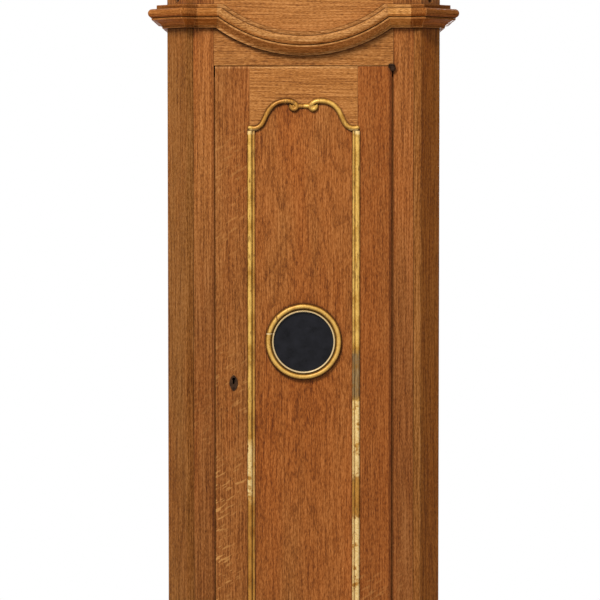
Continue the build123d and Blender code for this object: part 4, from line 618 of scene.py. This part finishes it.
def soften(width, *names):
    """Eases the sharp edges of a node as years of handling do."""
    for name in names:
        weld = nodes[name].modifiers.new("weld", "WELD")
        weld.merge_threshold = WELD_REACH
        bevel = nodes[name].modifiers.new("bevel", "BEVEL")
        bevel.width = width
        bevel.segments = 2
        bevel.limit_method = "ANGLE"
        bevel.angle_limit = EASE_TURN


# Bands of another shade on a node: axis, start, end, softness and the shade that multiplies the wood.
# The lengths of the throat moulding differ in colour, as pieces that were renewed at different times; the
# paler lengths across the front also carry a painted highlight
THROAT_BANDS = (
    ("x", -0.3000, -0.1617, 0.0004, (0.80, 0.70, 0.62)),
    ("x", -0.1617, -0.1470, 0.0004, (0.60, 0.52, 0.47)),
    ("x", -0.1470, -0.1200, 0.0004, (0.92, 0.88, 0.84)),
    ("x", -0.1200, 0.1165, 0.0004, (1.08, 1.24, 1.55)),
    ("x", 0.1165, 0.1487, 0.0004, (1.24, 1.42, 1.60)),
    ("x", 0.1487, 0.1637, 0.0004, (0.60, 0.52, 0.47)),
    ("x", 0.1637, 0.3000, 0.0004, (0.64, 0.54, 0.46)),
)
# The right-hand timber differs in shade, the edges beside the door are darker with dirt and painted shade,
# the stiles are darker below, and the door's top arris carries a painted highlight
RIGHT_CANT = ("x", 0.1645, 0.3000, 0.0006, (1.02, 0.86, 0.58))
RIGHT_STILE = ("x", 0.1000, 0.3000, 0.0050, (0.98, 0.91, 0.88))
DOOR_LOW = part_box("door_lock_stile")[0]
DOOR_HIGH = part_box("door_hinge_stile")[1]
# Dirt and painted shade on the edges beside the door's gaps
EDGE_DIRT_AND_SHADE = (0.52, 0.46, 0.42)
LEFT_JAMB = ("x", DOOR_LOW[0] - 0.0050, DOOR_LOW[0] + 0.0010, 0.0012, (0.74, 0.68, 0.64))
HINGE_EDGE = ("x", DOOR_HIGH[0] - 0.0040, DOOR_HIGH[0] + 0.0010, 0.0014, EDGE_DIRT_AND_SHADE)
RIGHT_JAMB = ("x", DOOR_HIGH[0], DOOR_HIGH[0] + 0.0028, 0.0008, EDGE_DIRT_AND_SHADE)
STILE_FOOT = ("z", 0.0, 1.36, 0.12, (0.76, 0.74, 0.74))
# Painted highlight along the door's top arris
DOOR_TOP_HIGHLIGHT = ("z", DOOR_HIGH[2] - 0.0030, DOOR_HIGH[2] - 0.0008, 0.0005, (1.40, 1.70, 2.30))
STILE_BANDS = (RIGHT_STILE, LEFT_JAMB, RIGHT_JAMB, STILE_FOOT)

WOOD = {
    "plinth_skirting": dict(grain="moulding", seed=1.0),
    "base_front_frame": dict(grain="frame", seed=2.0, limit=0.116),
    "base_front_panel": dict(seed=3.0, pith=(0.01, 0.05, 0.09)),
    "base_sides": dict(seed=4.0),
    "base_corner_posts": dict(seed=5.0),
    "base_moulding": dict(grain="moulding", seed=6.0),
    "trunk_sides": dict(seed=7.0, pith=(0.0, 0.3, 0.05)),
    "trunk_corner_posts": dict(seed=8.0, tone=0.78, gold=0.70, bands=(RIGHT_CANT,), gloss=0.04),
    "trunk_stiles": dict(seed=9.0, tone=0.92, gold=0.5, flecks=0.25, bands=STILE_BANDS),
    "trunk_top_rail": dict(grain="X", seed=10.0, tone=1.05, gold=1.0),
    "trunk_bottom_rail": dict(grain="X", seed=11.0),
    # The throat moulding has painted shade on faces that look down, and a painted highlight along its worn
    # edges
    "throat_moulding": dict(grain="moulding", seed=12.0, tone=1.2, gold=1.0, bands=THROAT_BANDS,
                            under=(1.08, 0.90, 0.70), edge_wear_and_highlight=0.9, gloss=0.02),
    "door_lock_stile": dict(seed=13.0, tone=0.82, gold=0.50, flecks=0.8, dirt_and_shade=0.6, bands=(DOOR_TOP_HIGHLIGHT,)),
    "door_hinge_stile": dict(seed=14.0, tone=0.79, gold=0.15, flecks=0.2, bands=(HINGE_EDGE,)),
    "door_top_rail": dict(grain="X", seed=15.0, tone=1.16, gold=1.0, bands=(DOOR_TOP_HIGHLIGHT,)),
    "door_bottom_rail": dict(grain="X", seed=16.0),
    "door_panel": dict(seed=17.0, tone=0.90, gold=0.35, pith=(0.012, 0.03, 0.05)),
    "hood_apron": dict(grain="X", seed=18.0, tone=1.14, gold=1.0, dirt_and_shade=0.3),
    "hood_posts": dict(seed=19.0, gold=0.6),
    "hood_sides": dict(seed=20.0),
    "hood_arch_rail": dict(grain="X", seed=21.0, pith=(2.10, 0.06, 0.05)),
    "hood_cornice": dict(grain="moulding", seed=22.0),
    "hood_door_frame": dict(grain="frame", seed=23.0, limit=0.098),
}
FINE_MOULDINGS = ("throat_moulding", "hood_cornice", "base_moulding")
for node, look in WOOD.items():
    paint(wood("oak_" + node, **look), node)
    soften(FINE_EASE if node in FINE_MOULDINGS else EASE, node)
for number, node in enumerate(("backboard", "movement_cheeks", "hood_roof")):
    paint(wood("deal_" + node, seed=31.0 + number, timber=DEAL), node)
paint(wood("deal_seat_board", grain="X", seed=34.0, timber=DEAL), "seat_board")

paint(gilding("gilding_worn", strips=True), "door_gilt_moulding")
paint(gilding("gilding_ring", ring=True), "lenticle_ring")
paint(gilding("gilding"), "hood_door_bezel")
rust = plain("rusted_iron", (0.042, 0.021, 0.011), 0.65, spread=0.8, scale=260.0, bump=0.3, dirt_and_shade=0.7,
             gloss=0.06)
paint(rust, "keyhole_escutcheon", "case_hinge_brackets", "door_hinge_leaves", "hood_hinge_brackets")
paint(rust, "hood_door_leaves", "door_lock_case")
iron = plain("iron", (0.050, 0.044, 0.040), 0.5, metallic=0.7, spread=0.4, scale=200.0, bump=0.25, dirt_and_shade=0.5)
paint(iron, "drive_weight", "lock_bolt")
brass = plain("brass", (0.62, 0.41, 0.15), 0.30, metallic=1.0, spread=0.16, scale=60.0, dirt_and_shade=0.6)
paint(brass, "front_plate", "back_plate", "suspension_cock", "winding_barrel", "great_wheel", "centre_wheel")
paint(brass, "third_wheel", "escape_wheel", "cannon_pinion", "hour_wheel", "minute_wheel", "pendulum_bob")
paint(brass, "weight_pulley", "hood_door_knob")
steel = plain("blued_steel", (0.040, 0.050, 0.085), 0.3, metallic=1.0, spread=0.2)
paint(steel, "pallet_anchor", "pendulum_rod", "minute_hand", "hour_hand")
dark_glass = plain("dark_glass", (0.008, 0.008, 0.0105), 0.30, spread=0.6, scale=70.0, gloss=0.12)
paint(dark_glass, "lenticle_glass")
paint(clear_glass(), "hood_door_glass")
paint(plain("dial_paint", (0.74, 0.68, 0.54), 0.35, spread=0.07, scale=30.0, dirt_and_shade=0.3), "dial")
gut = plain("gut", (0.48, 0.33, 0.15), 0.55)
ink = plain("ink", (0.018, 0.016, 0.015), 0.5)
# Dark brown of the strips that stand in the door's side gaps as painted shadow
gap_shadow = plain("gap_shadow_brown", (0.165, 0.054, 0.013), 0.7, spread=0.4, scale=90.0, bump=0.2, gloss=0.05)


def add_mesh(name, points, faces, material, body):
    mesh = bpy.data.meshes.new(name)
    mesh.from_pydata(points, [], faces)
    shape = bmesh.new()
    shape.from_mesh(mesh)
    bmesh.ops.recalc_face_normals(shape, faces=shape.faces)
    shape.to_mesh(mesh)
    shape.free()
    piece = bpy.data.objects.new(name, mesh)
    bpy.context.scene.collection.objects.link(piece)
    mesh.materials.append(material)
    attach(piece, body)
    return piece


def tube(rows, closed_ends=True):
    """Faces that join rings of points, each with the same count, into a tube."""
    sides = len(rows[0])
    faces = []
    for i in range(len(rows) - 1):
        for k in range(sides):
            a = i * sides + k
            b = i * sides + (k + 1) % sides
            faces.append((a, b, b + sides, a + sides))
    if closed_ends:
        last = (len(rows) - 1) * sides
        faces.append(tuple(range(sides)))
        faces.append(tuple(range(last, last + sides)))
    return [point for row in rows for point in row], faces


def on_dial(angle, radius, aside, depth):
    """Point at a clock angle and radius on the dial, moved aside along the circle and forward by a depth."""
    x = radius * sin(angle) + aside * cos(angle)
    z = radius * cos(angle) - aside * sin(angle)
    return x, DIAL_Y - depth, DIAL_Z + z


def plate(angle, corners):
    """Thin closed plate of ink: its corners are given aside and outwards from the dial's middle."""
    rows = [[on_dial(angle, out, aside, depth) for aside, out in corners] for depth in (0.0, INK_DEPTH)]
    return tube(rows)


def join(shapes):
    points, faces = [], []
    for new_points, new_faces in shapes:
        start = len(points)
        points += new_points
        faces += [tuple(start + k for k in face) for face in new_faces]
    return points, faces


def ink_circle(radius, width):
    """Thin closed ring of ink round the dial."""
    outer = radius + width
    section = ((radius, 0.0), (outer, 0.0), (outer, INK_DEPTH), (radius, INK_DEPTH))
    rows = []
    for k in range(TRACK_STEPS):
        angle = 2 * pi * k / TRACK_STEPS
        rows.append([on_dial(angle, r, 0.0, depth) for r, depth in section])
    points, faces = tube(rows, closed_ends=False)
    sides = len(section)
    last = (TRACK_STEPS - 1) * sides
    faces += [(last + k, last + (k + 1) % sides, (k + 1) % sides, k) for k in range(sides)]
    return points, faces


def stroke(foot, head, width):
    """Slanted bar of a letter, from its foot to its head."""
    top = NUMERAL_FOOT + NUMERAL_HEIGHT
    return [(foot, NUMERAL_FOOT), (foot + width, NUMERAL_FOOT), (head + width, top), (head, top)]


def serif(left, right, low):
    return [(left, low), (right, low), (right, low + THIN_STROKE), (left, low + THIN_STROKE)]


def letter(kind, left):
    """Strokes of one Roman letter that starts at left, and where it ends."""
    foot_serif = NUMERAL_FOOT
    head_serif = NUMERAL_FOOT + NUMERAL_HEIGHT - THIN_STROKE
    if kind == "I":
        right = left + THICK_STROKE
        bars = [stroke(left, left, THICK_STROKE)]
        for low in (foot_serif, head_serif):
            bars.append(serif(left - SERIF_OVERHANG, right + SERIF_OVERHANG, low))
        return bars, right
    right = left + SLANTED_WIDTH
    thin_head = right - THIN_STROKE
    if kind == "V":
        middle = left + (SLANTED_WIDTH - THICK_STROKE) / 2
        bars = [stroke(middle, left, THICK_STROKE), stroke(middle + THICK_STROKE / 2, thin_head, THIN_STROKE)]
        ends = (head_serif,)
    else:
        bars = [stroke(right - THICK_STROKE, left, THICK_STROKE), stroke(left, thin_head, THIN_STROKE)]
        ends = (foot_serif, head_serif)
    for low in ends:
        bars.append(serif(left - SERIF_OVERHANG, left + THICK_STROKE + SERIF_OVERHANG, low))
        bars.append(serif(right - THICK_STROKE, right + SERIF_OVERHANG, low))
    return bars, right


def numeral(hour, word):
    """Plates of one hour number, centred on its hour with its foot to the dial's middle."""
    bars = []
    end = -LETTER_GAP
    for kind in word:
        new_bars, end = letter(kind, end + LETTER_GAP)
        bars += new_bars
    angle = 2 * pi * hour / len(NUMERALS)
    return [plate(angle, [(aside - end / 2, out) for aside, out in bar]) for bar in bars]


def dial_marks():
    """Minute track and hour numbers painted on the dial."""
    shapes = [ink_circle(TRACK_INNER, TRACK_LINE), ink_circle(TRACK_OUTER, TRACK_LINE)]
    for minute in range(60):
        half = HOUR_MARK if minute % 5 == 0 else MINUTE_MARK
        corners = [(-half, TRACK_INNER), (half, TRACK_INNER), (half, TRACK_OUTER), (-half, TRACK_OUTER)]
        shapes.append(plate(2 * pi * minute / 60, corners))
    add_mesh("dial_minute_track", *join(shapes), ink, "case")
    numbers = [bar for hour, word in enumerate(NUMERALS) for bar in numeral(hour, word)]
    add_mesh("dial_hour_numbers", *join(numbers), ink, "case")


def gut_strands():
    """The line in three: two strands that shorten as the weight rises, and the turn under the pulley."""
    low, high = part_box("gut_line")
    radius = (high[1] - low[1]) / 2
    y = (low[1] + high[1]) / 2
    left = low[0] + radius
    right = high[0] - radius
    middle = (left + right) / 2
    turn = (right - left) / 2
    bottom = low[2] + turn + radius
    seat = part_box("seat_board")[0][2]
    circle = [2 * pi * k / GUT_SIDES for k in range(GUT_SIDES)]
    for name, x, top in (("gut_strand_fixed", left, seat), ("gut_strand_drawn", right, high[2])):
        rows = [[(x + radius * cos(a), y + radius * sin(a), z) for a in circle] for z in (bottom, top)]
        strand = add_mesh(name, *tube(rows), gut, "case")
        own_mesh(strand)
    section = [(turn + radius * cos(a), y + radius * sin(a)) for a in circle]
    rows = []
    for i in range(GUT_TURN_STEPS + 1):
        angle = pi + pi * i / GUT_TURN_STEPS
        rows.append([(middle + r * cos(angle), side, bottom + r * sin(angle)) for r, side in section])
    loop = add_mesh("gut_turn", *tube(rows), gut, "weight")
    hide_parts("gut_line")


def gap_shadow_strip(name, side):
    """Uneven dark brown ridge on one jamb of the trunk door, short of the door's edge, that stands in the gap
    as a painted shadow.
    """
    jamb = side * (DOOR_HIGH[0] + DOOR_SIDE_GAP)
    crown = jamb - side * SHADOW_STRIP_WIDTH / 2
    front = FACE_Y + SHADOW_STRIP_RECESS
    shoulder = front + SHADOW_STRIP_RECESS
    back = front + SHADOW_STRIP_DEPTH
    low = DOOR_LOW[2] + SHADOW_STRIP_END
    high = DOOR_HIGH[2] - SHADOW_STRIP_END
    rows = []
    for k in range(SHADOW_STRIP_STEPS + 1):
        z = low + (high - low) * k / SHADOW_STRIP_STEPS
        reach = jamb - side * SHADOW_STRIP_WIDTH * (1.0 + sum(SHADOW_STRIP_SWELL * sin(wave * z) for wave in SHADOW_STRIP_WAVES))
        section = ((jamb, shoulder), (crown, front), (reach, shoulder), (reach, back), (jamb, back))
        rows.append([(x, y, z) for x, y in section])
    add_mesh(name, *tube(rows), gap_shadow, "case")


dial_marks()
gut_strands()
# Painted shadow in the door's side gaps
gap_shadow_strip("door_gap_shadow_left", -1)
gap_shadow_strip("door_gap_shadow_right", 1)


def area_light(name, place, target, side, power, colour):
    data = bpy.data.lights.new(name, "AREA")
    data.shape = "RECTANGLE"
    data.size = side
    data.size_y = side
    data.energy = power
    data.color = colour
    lamp = bpy.data.objects.new(name, data)
    lamp.location = place
    lamp.rotation_euler = (Vector(target) - Vector(place)).to_track_quat("-Z", "Y").to_euler()
    bpy.context.scene.collection.objects.link(lamp)


def studio():
    """Pale floor, white surroundings, soft light from the upper left and a weaker lamp behind."""
    bpy.ops.mesh.primitive_plane_add(size=1, location=FLOOR_PLACE)
    floor = bpy.context.object
    floor.name = "floor"
    floor.scale = FLOOR_SCALE
    floor.data.materials.append(plain("floor_paint", FLOOR_COLOUR, 0.6, spread=0.01))
    world = bpy.data.worlds.new("studio")
    bpy.context.scene.world = world
    world.use_nodes = True
    tree = world.node_tree
    tree.nodes.clear()
    output = tree.nodes.new("ShaderNodeOutputWorld")
    seen = tree.nodes.new("ShaderNodeBackground")
    seen.inputs["Color"].default_value = (1, 1, 1, 1)
    seen.inputs["Strength"].default_value = WORLD_SHOWN
    lit = tree.nodes.new("ShaderNodeBackground")
    lit.inputs["Color"].default_value = (1, 1, 1, 1)
    lit.inputs["Strength"].default_value = WORLD_LIGHT
    path = tree.nodes.new("ShaderNodeLightPath")
    showing = path.outputs["Is Camera Ray"]
    for ray in ("Is Glossy Ray", "Is Transmission Ray"):
        either = tree.nodes.new("ShaderNodeMath")
        either.operation = "MAXIMUM"
        tree.links.new(showing, either.inputs[0])
        tree.links.new(path.outputs[ray], either.inputs[1])
        showing = either.outputs[0]
    mix = tree.nodes.new("ShaderNodeMixShader")
    tree.links.new(showing, mix.inputs[0])
    tree.links.new(lit.outputs[0], mix.inputs[1])
    tree.links.new(seen.outputs[0], mix.inputs[2])
    tree.links.new(mix.outputs[0], output.inputs["Surface"])
    for name, settings in LAMPS.items():
        area_light(name, *settings)


def photo_camera():
    data = bpy.data.cameras.new("photo_camera")
    data.sensor_width = 36.0
    data.lens = data.sensor_width * VIEW_DISTANCE / VIEW_WIDTH
    data.clip_end = 50.0
    data.dof.use_dof = False
    camera = bpy.data.objects.new("photo_camera", data)
    target = Vector((VIEW_X, FACE_Y, VIEW_Z))
    pitch = radians(VIEW_PITCH)
    camera.location = target + Vector((0, -cos(pitch), sin(pitch))) * VIEW_DISTANCE
    camera.rotation_euler = (target - camera.location).to_track_quat("-Z", "Y").to_euler()
    bpy.context.scene.collection.objects.link(camera)
    bpy.context.scene.camera = camera


studio()
photo_camera()
bpy.context.scene.view_settings.view_transform = "Standard"
